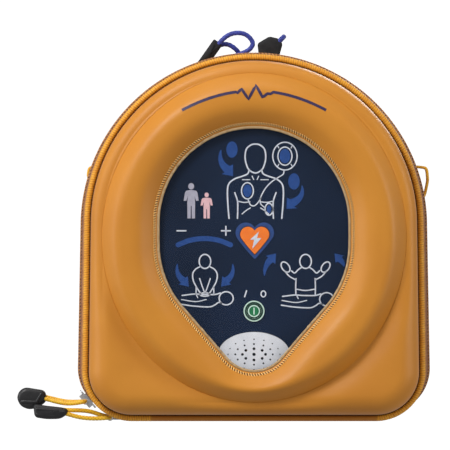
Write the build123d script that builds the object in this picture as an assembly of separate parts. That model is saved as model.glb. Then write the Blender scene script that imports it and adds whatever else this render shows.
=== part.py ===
from build123d import *
import os
from math import atan2, cos, degrees, hypot, pi, radians, sin, sqrt, tan

# ---------------------------------------------------------------------------
# An automated external defibrillator inside its zipped carry case.
# Millimetres. +X right, +Y to the back, +Z up. The case stands on its bottom
# edge with the zip's mid plane at Y 0, the window faces -Y, Z 0 is the base.
# ---------------------------------------------------------------------------

# Case outline: the hull of one large top circle and two corner circles.
ZIP_TOP_Z = 125.5
ZIP_TOP_R = 111.6
ZIP_CORNER_X = 84.3
ZIP_CORNER_Z = 34.0
ZIP_CORNER_R = 29.0
PIPE_TOP_Z = 127.0
PIPE_TOP_R = 107.0
PIPE_CORNER_X = 78.3
PIPE_CORNER_Z = 31.95
PIPE_CORNER_R = 30.0
ZIP_OUTLINE = (ZIP_TOP_Z, ZIP_TOP_R, ZIP_CORNER_X, ZIP_CORNER_Z, ZIP_CORNER_R)
PIPE_OUTLINE = (PIPE_TOP_Z, PIPE_TOP_R, PIPE_CORNER_X, PIPE_CORNER_Z, PIPE_CORNER_R)

# Piping beads and the seam inside them.
PIPE_R = 1.95
PIPE_Y = 8.05
SHELL_INSET = 2.0
SHELL_RIM_Y = 6.4

# Shell depths, wall and edge rounding.
FRONT_Y = 34.0
BACK_Y = 35.5
WALL = 3.6
FRONT_WALL = 3.4
EDGE_R = 13.0
INNER_EDGE_R = 9.0

# Padded oval ring around the window.
RING_Z = 118.0
RING_X_R = 97.5
RING_Z_R = 105.5
RING_Y = 41.0
RING_ROUND = 6.5
RING_FLAT_IN = 17.0

# Printed mark on the ring.
MARK_W = 1.8
MARK_T = 0.25
MARK = [
    (-46.0, 199.6),
    (-31.0, 205.6),
    (-16.0, 209.2),
    (-11.5, 209.6),
    (-8.0, 213.0),
    (-3.6, 206.4),
    (1.2, 215.4),
    (5.4, 207.6),
    (8.6, 210.0),
    (16.0, 209.2),
    (31.0, 205.6),
    (46.0, 199.6),
]

# Window: a large top arc, short upright sides, slanted flanks and a small bottom arc.
WIN_TOP_Z = 127.4
WIN_LOW_Z = 114.0
WIN_TOP_R = 61.3
WIN_BOT_Z = 55.7
WIN_BOT_R = 23.1
FILM_Y = 30.6
FILM_T = 0.6
FILM_LAP = 4.0
BIND_W = 0.9
BIND_T = 1.0

# Zip: tapes, teeth strands, hinge fabric.
TAPE_T = 0.8
TAPE_IN_Y = 1.85
TAPE_OUT_Y = 6.2
TAPE_TOP_INSET = 1.3
STRAND_T = 1.9
STRAND_Y0 = 0.6
STRAND_Y1 = 1.75
ZIP_LEFT_X = -66.0
ZIP_RIGHT_X = 79.0
ZIP_GAP_Z = 17.0
HINGE_T = 1.0
HINGE_HALF_Y = 5.9
HINGE_END = 2.0

# Zip end stops.
STOP_LENGTH = 2.4
STOP_FRONT = 1.2
STOP_T = 0.9
STOP_DROP = 0.75

# Zip sliders.
SLIDER_W0 = 1.9
SLIDER_W1 = 2.9
PLATE_A0 = 0.55
PLATE_A1 = 1.5
WEB_HALF_Y = 0.35
WEB_DEPTH = 3.4
WEB_SHARE = 0.5
INNER_PLATE_W = 2.2
INNER_PLATE_T = 0.7
INNER_PLATE_SHARE = 0.7
SLIDER_ROUND = 1.4
BAIL_SINK = 0.4
BAIL_A1 = 4.2
BAIL_HALF_Y = 0.35
EYE_R = 2.15
EYE_BORE_R = 1.5
UPPER_ANGLE = 221.5
UPPER_LENGTH = 14.9
UPPER_EYE_A = 3.2
UPPER_BAIL = (-5.0, 5.0)
LOWER_X = -84.6
LOWER_LENGTH = 9.0
LOWER_EYE_X = -92.5
LOWER_EYE_Z = 2.25
LOWER_BAIL = (-6.1, 3.0)

# Pull cords: one open tube each, folded through its slider's eye.
PULL_CORD_D = 2.8
BEND_SHARE = 0.45
UPPER_CORD = [
    (-139.0, 2.6, 15.3),
    (-133.6, 2.5, 14.1),
    (-127.5, 1.4, 12.4),
    (-121.2, -0.6, 11.2),
    (-114.9, -2.5, 11.4),
    (-108.4, -3.1, 12.66),
    (-108.4, 3.1, 12.66),
    (-114.9, 3.6, 12.2),
    (-121.3, 4.4, 12.4),
    (-127.5, 5.2, 13.7),
    (-133.6, 5.6, 15.3),
    (-139.0, 5.6, 16.6),
]
LOWER_CORD = [
    (-124.6, -4.2, 5.9),
    (-118.5, -4.2, 4.2),
    (-112.0, -4.1, 2.4),
    (-105.5, -3.6, 1.7),
    (-99.0, -3.1, 1.7),
    (-92.5, -3.1, 2.25),
    (-92.5, 3.1, 2.25),
    (-98.8, 2.7, 3.9),
    (-105.2, 1.0, 6.2),
    (-111.8, -1.0, 6.9),
    (-118.4, -1.9, 6.9),
    (-124.6, -2.0, 7.3),
]

# Moulded grips of the pulls.
UPPER_GRIP = [
    (-147.4, 21.7),
    (-134.2, 19.6),
    (-133.2, 12.6),
    (-138.6, 8.6),
    (-144.6, 7.1),
    (-150.2, 9.4),
    (-152.7, 14.6),
    (-151.2, 19.2),
]
UPPER_GRIP_Y = (0.6, 7.6)
LOWER_GRIP = [
    (-141.9, 11.2),
    (-133.0, 9.9),
    (-124.4, 9.0),
    (-119.6, 8.0),
    (-119.9, 4.4),
    (-124.2, 1.4),
    (-133.0, 1.2),
    (-141.0, 2.4),
]
LOWER_GRIP_Y = (-7.4, -0.4)
GRIP_ROUND = 1.5
GRIP_EDGE_ROUND = 1.2
GRIP_RIB_H = 0.7
UPPER_RIB_X = -141.5
UPPER_RIB_Z = 16.2
UPPER_RIB_TURN = 8.0
UPPER_RIB_SIZE = (12.0, 1.6)
LOWER_RIB_X = -132.5
LOWER_RIB_Z = 7.6
LOWER_RIB_TURN = 6.0
LOWER_RIB_SIZE = (13.0, 1.3)

# Strap loops on the sides of the back shell.
LOOP_T = 1.8
LOOP_Y = (11.5, 25.5)
RIGHT_LOOP = [(96.4, 164.2), (111.6, 163.3), (112.4, 155.0), (110.3, 145.0), (103.0, 136.0)]
LEFT_LOOP = [(-96.2, 164.2), (-106.2, 163.2), (-107.2, 157.5), (-100.6, 148.6)]

# Carry handle behind the top: two dark sleeves and a blue cord.
HANDLE_D = 3.1
HANDLE_CORD = [
    (-29.4, 12.0, 235.4),
    (-23.0, 12.0, 243.0),
    (-15.5, 12.0, 249.9),
    (-5.6, 12.0, 250.1),
    (0.1, 12.1, 244.0),
    (-2.0, 12.4, 239.6),
    (-6.8, 12.9, 237.0),
    (-12.6, 13.2, 235.0),
]
HANDLE_INNER_CORD = [
    (-31.8, 15.8, 232.2),
    (-26.2, 15.9, 239.2),
    (-21.6, 15.9, 242.6),
    (-16.4, 15.9, 243.0),
    (-11.6, 16.4, 239.8),
    (-9.2, 17.6, 236.8),
    (-9.6, 18.8, 234.8),
]
HANDLE_END_CORD = [
    (9.6, 12.1, 236.0),
    (13.2, 12.1, 241.6),
    (19.4, 12.1, 247.6),
    (19.4, 17.0, 247.6),
    (13.4, 17.0, 241.4),
    (9.6, 17.0, 236.0),
]
LEFT_SLEEVE = [(-25.6, 246.2), (-20.2, 242.2), (-29.2, 229.5), (-37.3, 229.6)]
RIGHT_SLEEVE = [
    (2.3, 243.2),
    (10.0, 247.8),
    (16.1, 246.4),
    (18.7, 243.0),
    (15.9, 233.0),
    (3.4, 233.9),
]
SLEEVE_Y = (10.4, 18.8)
SLEEVE_ROUND = 1.2
ANCHOR_T = 1.4
ANCHOR_Y = (11.0, 21.0)
ANCHOR_ANGLES = (76.0, 113.0)

# Foam cradle.
FOAM_WALL = 6.0
FOAM_GAP = 0.3
FOAM_FRONT_Y = 11.0
FOAM_NOTCH = 30.0

# Device.
DEV_TOP_Z = 122.0
DEV_TOP_R = 92.0
DEV_CORNER_X = 38.0
DEV_CORNER_Z = 41.0
DEV_CORNER_R = 26.0
DEV_OUTLINE = (DEV_TOP_Z, DEV_TOP_R, DEV_CORNER_X, DEV_CORNER_Z, DEV_CORNER_R)
DEV_FRONT_Y = -26.0
DEV_SPLIT_Y = -3.0
DEV_BACK_Y = 22.0
DEV_WALL = 2.4
DEV_ROUND = 5.0
DEV_INNER_ROUND = 3.0
GASKET_T = 1.0
GASKET_INSET = 0.4
GASKET_LIP = 0.2
OVERLAY_T = 0.5
OVERLAY_GROW = 5.2

# Depths that every opening in the front housing is cut between.
CUT_FRONT_Y = -40.0
CUT_BACK_Y = -20.0

# Housing screws and their bosses.
SCREWS = [(-50, 165), (50, 165), (-66, 95), (66, 95), (-45, 66), (45, 66)]
SCREW_R = 1.4
SCREW_HEAD_R = 2.6
SCREW_HEAD_T = 1.7
SCREW_GAP = 0.1
BOSS_R = 3.4

# Buttons.
HEART_Z = 116.5
HEART_X = 0.5
HEART_SIZE = 18.6
HEART_OPENING = 20.2
HEART_PROUD = 0.9
HEART_ROUND = 0.35
SURROUND_SIZE = 24.6
SURROUND_BORE = 19.6
SURROUND_PROUD = 0.5
FLASH_T = 0.25
FLASH = [(2.6, 5.4), (-3.0, 0.2), (-0.4, 0.2), (-1.6, -5.6), (4.2, 1.2), (1.4, 1.2)]
POWER_Z = 71.0
POWER_R = 4.1
POWER_RING_R = 6.7
POWER_RING_BORE = 4.7
POWER_RING_PROUD = 1.0
POWER_RING_FIT = 0.05
POWER_RING_CLEAR = 0.1
POWER_PROUD = 1.3
POWER_ROUND = 0.4
CAP_BACK_Y = -24.0
STEM_END_Y = -8.4
BUTTON_STEM_R = 2.0
SWITCH_SIZE = 6.0
SWITCH_T = 1.6

# Speaker.
SPEAKER_Z = 43.3
SPEAKER_X_R = 23.0
SPEAKER_Z_R = 14.4
GRILLE_DOME = 1.6
GRILLE_T = 1.6
GRILLE_RIM = 1.9
GRILLE_GAP = 0.1
GRILLE_CLEAR = 0.2
HOLE_RINGS = [
    (1, 0.0, 0.0, 1.05, 0.0),
    (8, 7.4, 3.6, 0.9, 0.0),
    (12, 12.0, 6.6, 0.6, 0.0),
    (16, 16.6, 9.7, 0.45, 0.0),
]
DRIVER_Z = 47.0
DRIVER_R = 15.0
DRIVER_DEPTH = 7.0
DRIVER_GAP = 0.6
BASKET_T = 3.0
BASKET_RIM = 2.0
CONE_SMALL_R = 4.0
CONE_DEPTH = 2.4
CONE_Y = 1.0
MAGNET_R = 8.5

# Electronics and cartridge.
BOARD_Y = -6.0
BOARD_T = 1.6
BOARD_Z = 120.0
BOARD_WIDTH = 140.0
BOARD_HEIGHT = 110.0
BOARD_GROW = 12.0
CHIP_T = 1.4
CHIPS = [(-24.0, 120.0, 16.0, 16.0), (24.0, 130.0, 12.0, 9.0)]
CAP_R = 10.5
CAP_LENGTH = 46.0
CAP_PLACE = (-36.0, 7.5, 148.0)
COIL_PLACE = (34.0, 4.0, 152.0)
COIL_R = 10.0
COIL_WIRE_R = 4.5
RELAY_PLACE = (30.0, 3.0, 108.0)
RELAY_SIZE = (26.0, 12.0, 18.0)
PORT_Z = 176.0
PORT_SIZE = (26.0, 12.0)
PORT_ROUND = 3.0
PORT_T = 0.25
CARTRIDGE_X = 58.0
CARTRIDGE_Z = (15.2, 62.0)
CARTRIDGE_Y = (8.0, 18.8)
CARTRIDGE_WALL_X = 1.5
CARTRIDGE_WALL_Y = 1.2
CARTRIDGE_FLOOR = 2.5
CARTRIDGE_ROOF = 0.5
BAY_GAP = 0.6
CELL_R = 4.0
CELL_LENGTH = 34.0
CELL_X = -22.0
CELL_PITCH = 9.0
CELL_Z = 37.5
PAD_PLACE = (8.0, 38.5)
PAD_SIZE = (34.0, 6.4, 38.0)
TAB_SIZE = (24.0, 7.0, 2.2)
TAB_DROP = 1.2


def plane_at(y):
    """A drawing plane at that depth, with X right, Z up and the normal to the front."""
    return Plane(origin=(0, y, 0), x_dir=(1, 0, 0), z_dir=(0, -1, 0))


def slab(face, front, back):
    """A face drawn in X and Z, filled between two depths."""
    return extrude(plane_at(back) * face, amount=back - front)


def at_angle(cx, cz, radius, angle):
    """The point of a circle at an angle in degrees."""
    return (cx + radius * cos(radians(angle)), cz + radius * sin(radians(angle)))


def side_angle(outline):
    """The direction of the side line's normal, the same for every offset."""
    top_z, top_r, corner_x, corner_z, corner_r = outline
    run = hypot(corner_x, top_z - corner_z)
    towards = degrees(atan2(top_z - corner_z, -corner_x))
    return towards - degrees(acos_of((corner_r - top_r) / run))


def acos_of(value):
    """Arc cosine in radians."""
    return atan2(sqrt(1 - value * value), value)


def outline_edges(outline, grow):
    """The outline's edges from the bottom right, round the top, to the bottom left."""
    turn = side_angle(outline)
    top_z, top_r, corner_x, corner_z, corner_r = outline
    top = top_r + grow
    low = corner_r + grow
    right_low = ThreePointArc(
        at_angle(corner_x, corner_z, low, -90),
        at_angle(corner_x, corner_z, low, (turn - 90) / 2),
        at_angle(corner_x, corner_z, low, turn),
    )
    right_side = Line(right_low @ 1, at_angle(0, top_z, top, turn))
    arch = ThreePointArc(
        at_angle(0, top_z, top, turn),
        at_angle(0, top_z, top, 90),
        at_angle(0, top_z, top, 180 - turn),
    )
    left_low = ThreePointArc(
        at_angle(-corner_x, corner_z, low, 180 - turn),
        at_angle(-corner_x, corner_z, low, 180 + (90 - turn) / 2),
        at_angle(-corner_x, corner_z, low, 270),
    )
    left_side = Line(arch @ 1, left_low @ 0)
    return [right_low, right_side, arch, left_side, left_low]


def outline_face(outline, grow):
    """The closed outline as a face."""
    edges = outline_edges(outline, grow)
    bottom = Line(edges[-1] @ 1, edges[0] @ 0)
    return make_face(Curve() + edges + bottom)


def pipe_face(grow):
    """The piping's centre line outline, grown."""
    return outline_face(PIPE_OUTLINE, grow)


def zip_face(grow):
    """The zip's outer outline, grown."""
    return outline_face(ZIP_OUTLINE, grow)


def device_face(grow):
    """The device's outline, grown."""
    return outline_face(DEV_OUTLINE, grow)


def window_face(grow):
    """The window's outline: a tall round top that runs down to a small circle."""
    low = 90 - degrees(acos_of((WIN_BOT_R - WIN_TOP_R) / (WIN_LOW_Z - WIN_BOT_Z)))
    wide = WIN_TOP_R + grow
    small = WIN_BOT_R + grow
    right_low = at_angle(0, WIN_BOT_Z, small, low)
    right_turn = at_angle(0, WIN_LOW_Z, wide, low)
    left_turn = at_angle(0, WIN_LOW_Z, wide, 180 - low)
    left_low = at_angle(0, WIN_BOT_Z, small, 180 - low)
    edges = [
        Line(right_low, right_turn),
        ThreePointArc(right_turn, at_angle(0, WIN_LOW_Z, wide, low / 2), (wide, WIN_LOW_Z)),
        Line((wide, WIN_LOW_Z), (wide, WIN_TOP_Z)),
        ThreePointArc((wide, WIN_TOP_Z), (0, WIN_TOP_Z + wide), (-wide, WIN_TOP_Z)),
        Line((-wide, WIN_TOP_Z), (-wide, WIN_LOW_Z)),
        ThreePointArc((-wide, WIN_LOW_Z), at_angle(0, WIN_LOW_Z, wide, 180 - low / 2), left_turn),
        Line(left_turn, left_low),
        ThreePointArc(left_low, (0, WIN_BOT_Z - small), right_low),
    ]
    return make_face(Curve() + edges)


def heart_face(size, x, z):
    """A heart as wide as size, centred on x and z."""
    lobe = size * 0.265
    lobe_x = size / 2 - lobe
    lobe_z = z + size * 0.19
    tip = (x, z - size * 0.5)
    right = at_angle(x + lobe_x, lobe_z, lobe, -32)
    left = at_angle(x - lobe_x, lobe_z, lobe, 212)
    notch = (x, z + size * 0.315)
    edges = [
        ThreePointArc(tip, (x + size * 0.26, z - size * 0.21), right),
        ThreePointArc(right, at_angle(x + lobe_x, lobe_z, lobe, 60), notch),
        ThreePointArc(notch, at_angle(x - lobe_x, lobe_z, lobe, 120), left),
        ThreePointArc(left, (x - size * 0.26, z - size * 0.21), tip),
    ]
    return make_face(Curve() + edges)


def rim_path(outline, right_x, left_x):
    """The outline as an open wire that starts and stops on the bottom line."""
    edges = outline_edges(outline, 0)
    start = edges[0] @ 0
    stop = edges[-1] @ 1
    first = Line((right_x, start.Y), start)
    last = Line(stop, (left_x, stop.Y))
    return Plane.XZ * Wire([*first.edges(), *[e for c in edges for e in c.edges()], *last.edges()])


def rim_sweep(path, section):
    """A section in (outward, +Y) swept along a rim path."""
    start = path.position_at(0)
    plane = Plane(origin=start, x_dir=(0, 0, -1), z_dir=(1, 0, 0))
    return sweep(plane * section, path=path)


def rectangle_section(a0, a1, b0, b1):
    """A rectangle from a0 to a1 outward and b0 to b1 in depth."""
    return Pos((a0 + a1) / 2, (b0 + b1) / 2) * Rectangle(a1 - a0, b1 - b0)


def rounded(face, front, back, radius, at_front):
    """A slab whose front or back edge is rounded."""
    body = slab(face, front, back)
    side = body.faces().sort_by(Axis.Y)[0 if at_front else -1]
    return fillet(side.edges(), radius)


def ring_face(x_r, z_r):
    """The padded ring's oval."""
    return Pos(0, RING_Z) * Ellipse(x_r, z_r)


def front_shell():
    """Moulded front half: a dish, a padded ring and the window opening."""
    rim = -SHELL_INSET
    dish = rounded(pipe_face(rim), -FRONT_Y, -SHELL_RIM_Y, EDGE_R, True)
    ring = rounded(ring_face(RING_X_R, RING_Z_R), -RING_Y, -FRONT_Y + RING_ROUND, RING_ROUND, True)
    body = dish + ring
    inner_y = -FRONT_Y + FRONT_WALL
    hollow = rounded(
        pipe_face(rim - WALL), inner_y, -SHELL_RIM_Y + WALL, INNER_EDGE_R, True
    )
    body -= hollow
    slope = RING_FLAT_IN / (RING_Y + inner_y)
    low = plane_at(inner_y + 1) * window_face(-slope)
    high = plane_at(-RING_Y - 1) * window_face(RING_FLAT_IN + slope)
    return body - loft([low, high], ruled=True)


def window_film():
    """Clear film fixed behind the window opening."""
    return slab(window_face(FILM_LAP), -FILM_Y, -FILM_Y + FILM_T)


def window_binding():
    """Raw edge strip that lines the window opening."""
    slope = RING_FLAT_IN / (RING_Y - FILM_Y)
    back = plane_at(-FILM_Y) * window_face(0)
    front = plane_at(-FILM_Y - BIND_T) * window_face(slope * BIND_T)
    outer = loft([back, front], ruled=True)
    return outer - slab(window_face(-BIND_W), -FILM_Y - 2 * BIND_T, -FILM_Y + BIND_T)


def piping(front):
    """A corded bead round the rim of one half."""
    y = -PIPE_Y if front else PIPE_Y
    rim = Plane.XZ * Wire(pipe_face(0).wire().edges())
    start = rim.position_at(0)
    plane = Plane(origin=start, z_dir=rim.tangent_at(0))
    return Pos(0, y, 0) * sweep(plane * Circle(PIPE_R), path=rim)


def zip_band(side):
    """The tape between the zip's teeth and the piping, as a flared band."""
    near = side * TAPE_IN_Y
    far = side * TAPE_OUT_Y
    outer_grow = -TAPE_TOP_INSET
    outer = loft([plane_at(near) * zip_face(outer_grow), plane_at(far) * pipe_face(PIPE_R)], ruled=True)
    inner = loft(
        [
            plane_at(near) * zip_face(outer_grow - TAPE_T),
            plane_at(far) * pipe_face(PIPE_R - TAPE_T),
        ],
        ruled=True,
    )
    gap_x = (ZIP_LEFT_X + ZIP_RIGHT_X) / 2
    gap = Pos(gap_x, 0, 0) * Box(ZIP_RIGHT_X - ZIP_LEFT_X, 4 * PIPE_Y, 2 * ZIP_GAP_Z)
    return outer - inner - gap


def zip_strand(side):
    """One half of the zip's coil, as a plain strand."""
    path = rim_path(ZIP_OUTLINE, ZIP_RIGHT_X, ZIP_LEFT_X)
    low, high = sorted((side * STRAND_Y0, side * STRAND_Y1))
    return rim_sweep(path, rectangle_section(-STRAND_T, 0, low, high))


def hinge_fabric():
    """The strip along the bottom that joins the two halves."""
    length = ZIP_RIGHT_X - ZIP_LEFT_X - 2 * HINGE_END
    middle = (ZIP_RIGHT_X + ZIP_LEFT_X) / 2
    return Pos(middle, 0, HINGE_T / 2) * Box(length, 2 * HINGE_HALF_Y, HINGE_T)


def zip_stops():
    """Metal stops at the two ends of the zip."""
    z = ZIP_CORNER_Z - ZIP_CORNER_R - STOP_DROP
    stop = Box(STOP_LENGTH, STRAND_Y1 + STOP_FRONT, STOP_T)
    y = (STRAND_Y1 - STOP_FRONT) / 2
    left = Pos(ZIP_LEFT_X - STOP_LENGTH / 2, y, z) * stop
    right = Pos(ZIP_RIGHT_X + STOP_LENGTH / 2, y, z) * stop
    return Compound([left, right])


def slider(length, eye_t, eye_a, bail_t0, bail_t1):
    """A zip slider lying along X, its outside down, at the strand's outer face."""
    width = SLIDER_W0 + SLIDER_W1
    mid_y = (SLIDER_W1 - SLIDER_W0) / 2
    plate_t = PLATE_A1 - PLATE_A0
    plate = Pos(0, mid_y, -(PLATE_A0 + PLATE_A1) / 2) * Box(length, width, plate_t)
    plate = fillet(plate.edges().filter_by(Axis.Z), SLIDER_ROUND)
    web = Pos(0, 0, (WEB_DEPTH - PLATE_A1) / 2) * Box(
        length * WEB_SHARE, 2 * WEB_HALF_Y, WEB_DEPTH + PLATE_A1
    )
    inner = Pos(0, 0, WEB_DEPTH - INNER_PLATE_T / 2) * Box(
        length * INNER_PLATE_SHARE, INNER_PLATE_W, INNER_PLATE_T
    )
    bail_x = (bail_t0 + bail_t1) / 2
    bail = Pos(bail_x, 0, (BAIL_SINK - PLATE_A1 - BAIL_A1) / 2) * Box(
        bail_t1 - bail_t0, 2 * BAIL_HALF_Y, BAIL_A1 - PLATE_A1 + BAIL_SINK
    )
    eye = Pos(eye_t, 0, -eye_a) * (Rot(90, 0, 0) * Cylinder(EYE_R, 2 * BAIL_HALF_Y))
    bore = Pos(eye_t, 0, -eye_a) * (Rot(90, 0, 0) * Cylinder(EYE_BORE_R, 4 * BAIL_HALF_Y))
    return (plate + web + inner + bail + eye) - bore


def slider_upper():
    """The upper slider, on the bottom left corner's arc."""
    body = slider(UPPER_LENGTH, 0.0, UPPER_EYE_A, *UPPER_BAIL)
    x, z = at_angle(-ZIP_CORNER_X, ZIP_CORNER_Z, ZIP_CORNER_R, UPPER_ANGLE)
    return Pos(x, 0, z) * (Rot(0, 270 - UPPER_ANGLE, 0) * body)


def slider_lower():
    """The lower slider, on the bottom edge."""
    base = ZIP_CORNER_Z - ZIP_CORNER_R
    body = slider(LOWER_LENGTH, LOWER_EYE_X - LOWER_X, base - LOWER_EYE_Z, *LOWER_BAIL)
    return Pos(LOWER_X, 0, base) * body


def turn_between(a, b, c):
    """The change of direction at b, in radians."""
    first = (b - a).normalized()
    second = (c - b).normalized()
    return radians(first.get_angle(second))


def cord(name, route, diameter):
    """A round cord along straight runs and tangent arcs, with its figures printed."""
    points = [Vector(*p) for p in route]
    radii = []
    lost = 0.0
    for a, b, c in zip(points, points[1:], points[2:]):
        turn = turn_between(a, b, c)
        shorter = min((b - a).length, (c - b).length)
        radius = BEND_SHARE * shorter / tan(turn / 2)
        radii.append(radius)
        lost += 2 * radius * tan(turn / 2) - radius * turn
    runs = sum((b - a).length for a, b in zip(points, points[1:]))
    length = runs - lost
    line = FilletPolyline(*points, radius=radii)
    start = Plane(origin=line @ 0, z_dir=line % 0)
    tube = sweep(start * Circle(diameter / 2), path=line)
    expected = pi * diameter * diameter / 4 * length
    print(
        name,
        "length",
        round(length, 1),
        "tightest",
        round(min(radii), 2),
        "volume share",
        round(tube.volume / expected, 4),
    )
    return tube


def grip(outline, depth, rib):
    """A moulded pull grip with a raised rib on its front."""
    body = slab(make_face(Polyline(*outline, close=True)), depth[0], depth[1])
    body = fillet(body.edges().filter_by(Axis.Y), GRIP_ROUND)
    flat = body.faces().sort_by(Axis.Y)
    body = fillet(flat[0].edges() + flat[-1].edges(), GRIP_EDGE_ROUND)
    return body + rib


def grip_upper():
    """Grip of the upper pull."""
    length, width = UPPER_RIB_SIZE
    bar = Rot(0, UPPER_RIB_TURN, 0) * Box(length, 2 * GRIP_RIB_H, width)
    rib = Pos(UPPER_RIB_X, UPPER_GRIP_Y[0], UPPER_RIB_Z) * bar
    return grip(UPPER_GRIP, UPPER_GRIP_Y, rib)


def grip_lower():
    """Grip of the lower pull."""
    length, width = LOWER_RIB_SIZE
    bar = Rot(0, LOWER_RIB_TURN, 0) * Box(length, 2 * GRIP_RIB_H, width)
    rib = Pos(LOWER_RIB_X, LOWER_GRIP_Y[0], LOWER_RIB_Z) * bar
    return grip(LOWER_GRIP, LOWER_GRIP_Y, rib)


def strap_loop(route):
    """A webbing loop, bent in X and Z and as wide as the strap in Y."""
    band = trace(Polyline(*route), LOOP_T)
    return slab(band, LOOP_Y[0], LOOP_Y[1])


def back_shell():
    """Moulded back half: a plain dish."""
    rim = -SHELL_INSET
    dish = rounded(pipe_face(rim), SHELL_RIM_Y, BACK_Y, EDGE_R, False)
    hollow = rounded(
        pipe_face(rim - WALL), SHELL_RIM_Y - WALL, BACK_Y - FRONT_WALL, INNER_EDGE_R, False
    )
    return dish - hollow


def sleeve(outline):
    """A dark sleeve over the handle's cord."""
    body = slab(make_face(Polyline(*outline, close=True)), SLEEVE_Y[0], SLEEVE_Y[1])
    return fillet(body.edges().filter_by(Axis.Y), SLEEVE_ROUND)


def handle_anchor():
    """Webbing strip sewn on the top of the back shell, under the handle."""
    inner = PIPE_TOP_R - SHELL_INSET
    first, last = ANCHOR_ANGLES
    middle = (first + last) / 2
    low = ThreePointArc(*(at_angle(0, PIPE_TOP_Z, inner, a) for a in (first, middle, last)))
    high = ThreePointArc(*(at_angle(0, PIPE_TOP_Z, inner + ANCHOR_T, a) for a in (last, middle, first)))
    ends = Line(low @ 1, high @ 0) + Line(high @ 1, low @ 0)
    return slab(make_face(Curve() + [low, high] + ends), ANCHOR_Y[0], ANCHOR_Y[1])


def cradle():
    """Foam tray that holds the device in the back shell."""
    fit = rounded(
        pipe_face(-SHELL_INSET - WALL - FOAM_GAP),
        0,
        BACK_Y - FRONT_WALL - FOAM_GAP,
        INNER_EDGE_R,
        False,
    )
    outer = slab(device_face(FOAM_WALL), FOAM_FRONT_Y, BACK_Y)
    inner = slab(device_face(FOAM_GAP), 0, DEV_BACK_Y + FOAM_GAP)
    notch = Pos(0, 0, DEV_CORNER_Z - DEV_CORNER_R) * Box(FOAM_NOTCH, 2 * DEV_BACK_Y, FOAM_NOTCH)
    return (outer & fit) - inner - notch


def opening(face):
    """The cutter for an opening through the device's front."""
    return slab(face, CUT_FRONT_Y, CUT_BACK_Y)


def device_front():
    """Front half of the device's housing, with its openings."""
    body = rounded(device_face(0), DEV_FRONT_Y, DEV_SPLIT_Y, DEV_ROUND, True)
    hollow = rounded(
        device_face(-DEV_WALL), DEV_FRONT_Y + DEV_WALL, DEV_SPLIT_Y + DEV_WALL, DEV_INNER_ROUND, True
    )
    body -= hollow
    body -= opening(Pos(0, SPEAKER_Z) * Ellipse(SPEAKER_X_R, SPEAKER_Z_R))
    body -= opening(Pos(0, POWER_Z) * Circle(POWER_RING_R + POWER_RING_FIT))
    return body - opening(heart_face(HEART_OPENING, HEART_X, HEART_Z))


def device_rear():
    """Rear half of the device's housing, with screw bosses, open below for the cartridge."""
    split = DEV_SPLIT_Y + GASKET_T
    body = rounded(device_face(0), split, DEV_BACK_Y, DEV_ROUND, False)
    body -= slab(device_face(-DEV_WALL), split - 1, DEV_BACK_Y - DEV_WALL)
    for x, z in SCREWS:
        body += slab(Pos(x, z) * Circle(BOSS_R), split, DEV_BACK_Y - DEV_WALL)
        body -= slab(Pos(x, z) * Circle(SCREW_R + SCREW_GAP), split - 1, DEV_BACK_Y + 1)
        body -= slab(
            Pos(x, z) * Circle(SCREW_HEAD_R + SCREW_GAP), DEV_BACK_Y - SCREW_HEAD_T, DEV_BACK_Y + 1
        )
    bay_y = (CARTRIDGE_Y[0] + CARTRIDGE_Y[1]) / 2
    depth = CARTRIDGE_Y[1] - CARTRIDGE_Y[0] + BAY_GAP
    height = 2 * DEV_WALL + BAY_GAP
    return body - Pos(0, bay_y, CARTRIDGE_Z[0]) * Box(CARTRIDGE_X + BAY_GAP, depth, height)


def gasket():
    """Seal between the two housing halves."""
    outer = slab(device_face(-GASKET_INSET), DEV_SPLIT_Y, DEV_SPLIT_Y + GASKET_T)
    bore = device_face(-DEV_WALL + GASKET_LIP)
    return outer - slab(bore, DEV_SPLIT_Y - GASKET_T, DEV_SPLIT_Y + 2 * GASKET_T)


def overlay():
    """Printed membrane panel on the front housing."""
    front = DEV_FRONT_Y - OVERLAY_T
    body = slab(window_face(OVERLAY_GROW), front, DEV_FRONT_Y)
    body -= opening(Pos(0, SPEAKER_Z) * Ellipse(SPEAKER_X_R + GRILLE_CLEAR, SPEAKER_Z_R + GRILLE_CLEAR))
    body -= opening(Pos(0, POWER_Z) * Circle(POWER_RING_R + POWER_RING_CLEAR))
    return body - opening(heart_face(HEART_OPENING, HEART_X, HEART_Z))


def shock_surround():
    """Raised heart-shaped frame round the shock button."""
    front = DEV_FRONT_Y - OVERLAY_T - SURROUND_PROUD
    outer = slab(heart_face(SURROUND_SIZE, HEART_X, HEART_Z), front, DEV_FRONT_Y - OVERLAY_T)
    return outer - opening(heart_face(SURROUND_BORE, HEART_X, HEART_Z))


def shock_button():
    """Heart-shaped button with its stem."""
    face_y = DEV_FRONT_Y - OVERLAY_T - HEART_PROUD
    cap = slab(heart_face(HEART_SIZE, HEART_X, HEART_Z), face_y, CAP_BACK_Y)
    cap = fillet(cap.faces().sort_by(Axis.Y)[0].edges(), HEART_ROUND)
    stem = slab(Pos(HEART_X, HEART_Z) * Circle(BUTTON_STEM_R), CAP_BACK_Y, STEM_END_Y)
    return cap + stem


def shock_bolt():
    """Light-coloured flash emblem let into the heart's face."""
    face_y = DEV_FRONT_Y - OVERLAY_T - HEART_PROUD
    outline = make_face(Polyline(*FLASH, close=True))
    return slab(Pos(HEART_X, HEART_Z) * outline, face_y - FLASH_T, face_y)


def power_ring():
    """Ring round the on/off button."""
    front = DEV_FRONT_Y - OVERLAY_T - POWER_RING_PROUD
    outer = slab(Pos(0, POWER_Z) * Circle(POWER_RING_R), front, DEV_FRONT_Y + DEV_WALL)
    return outer - opening(Pos(0, POWER_Z) * Circle(POWER_RING_BORE))


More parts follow.
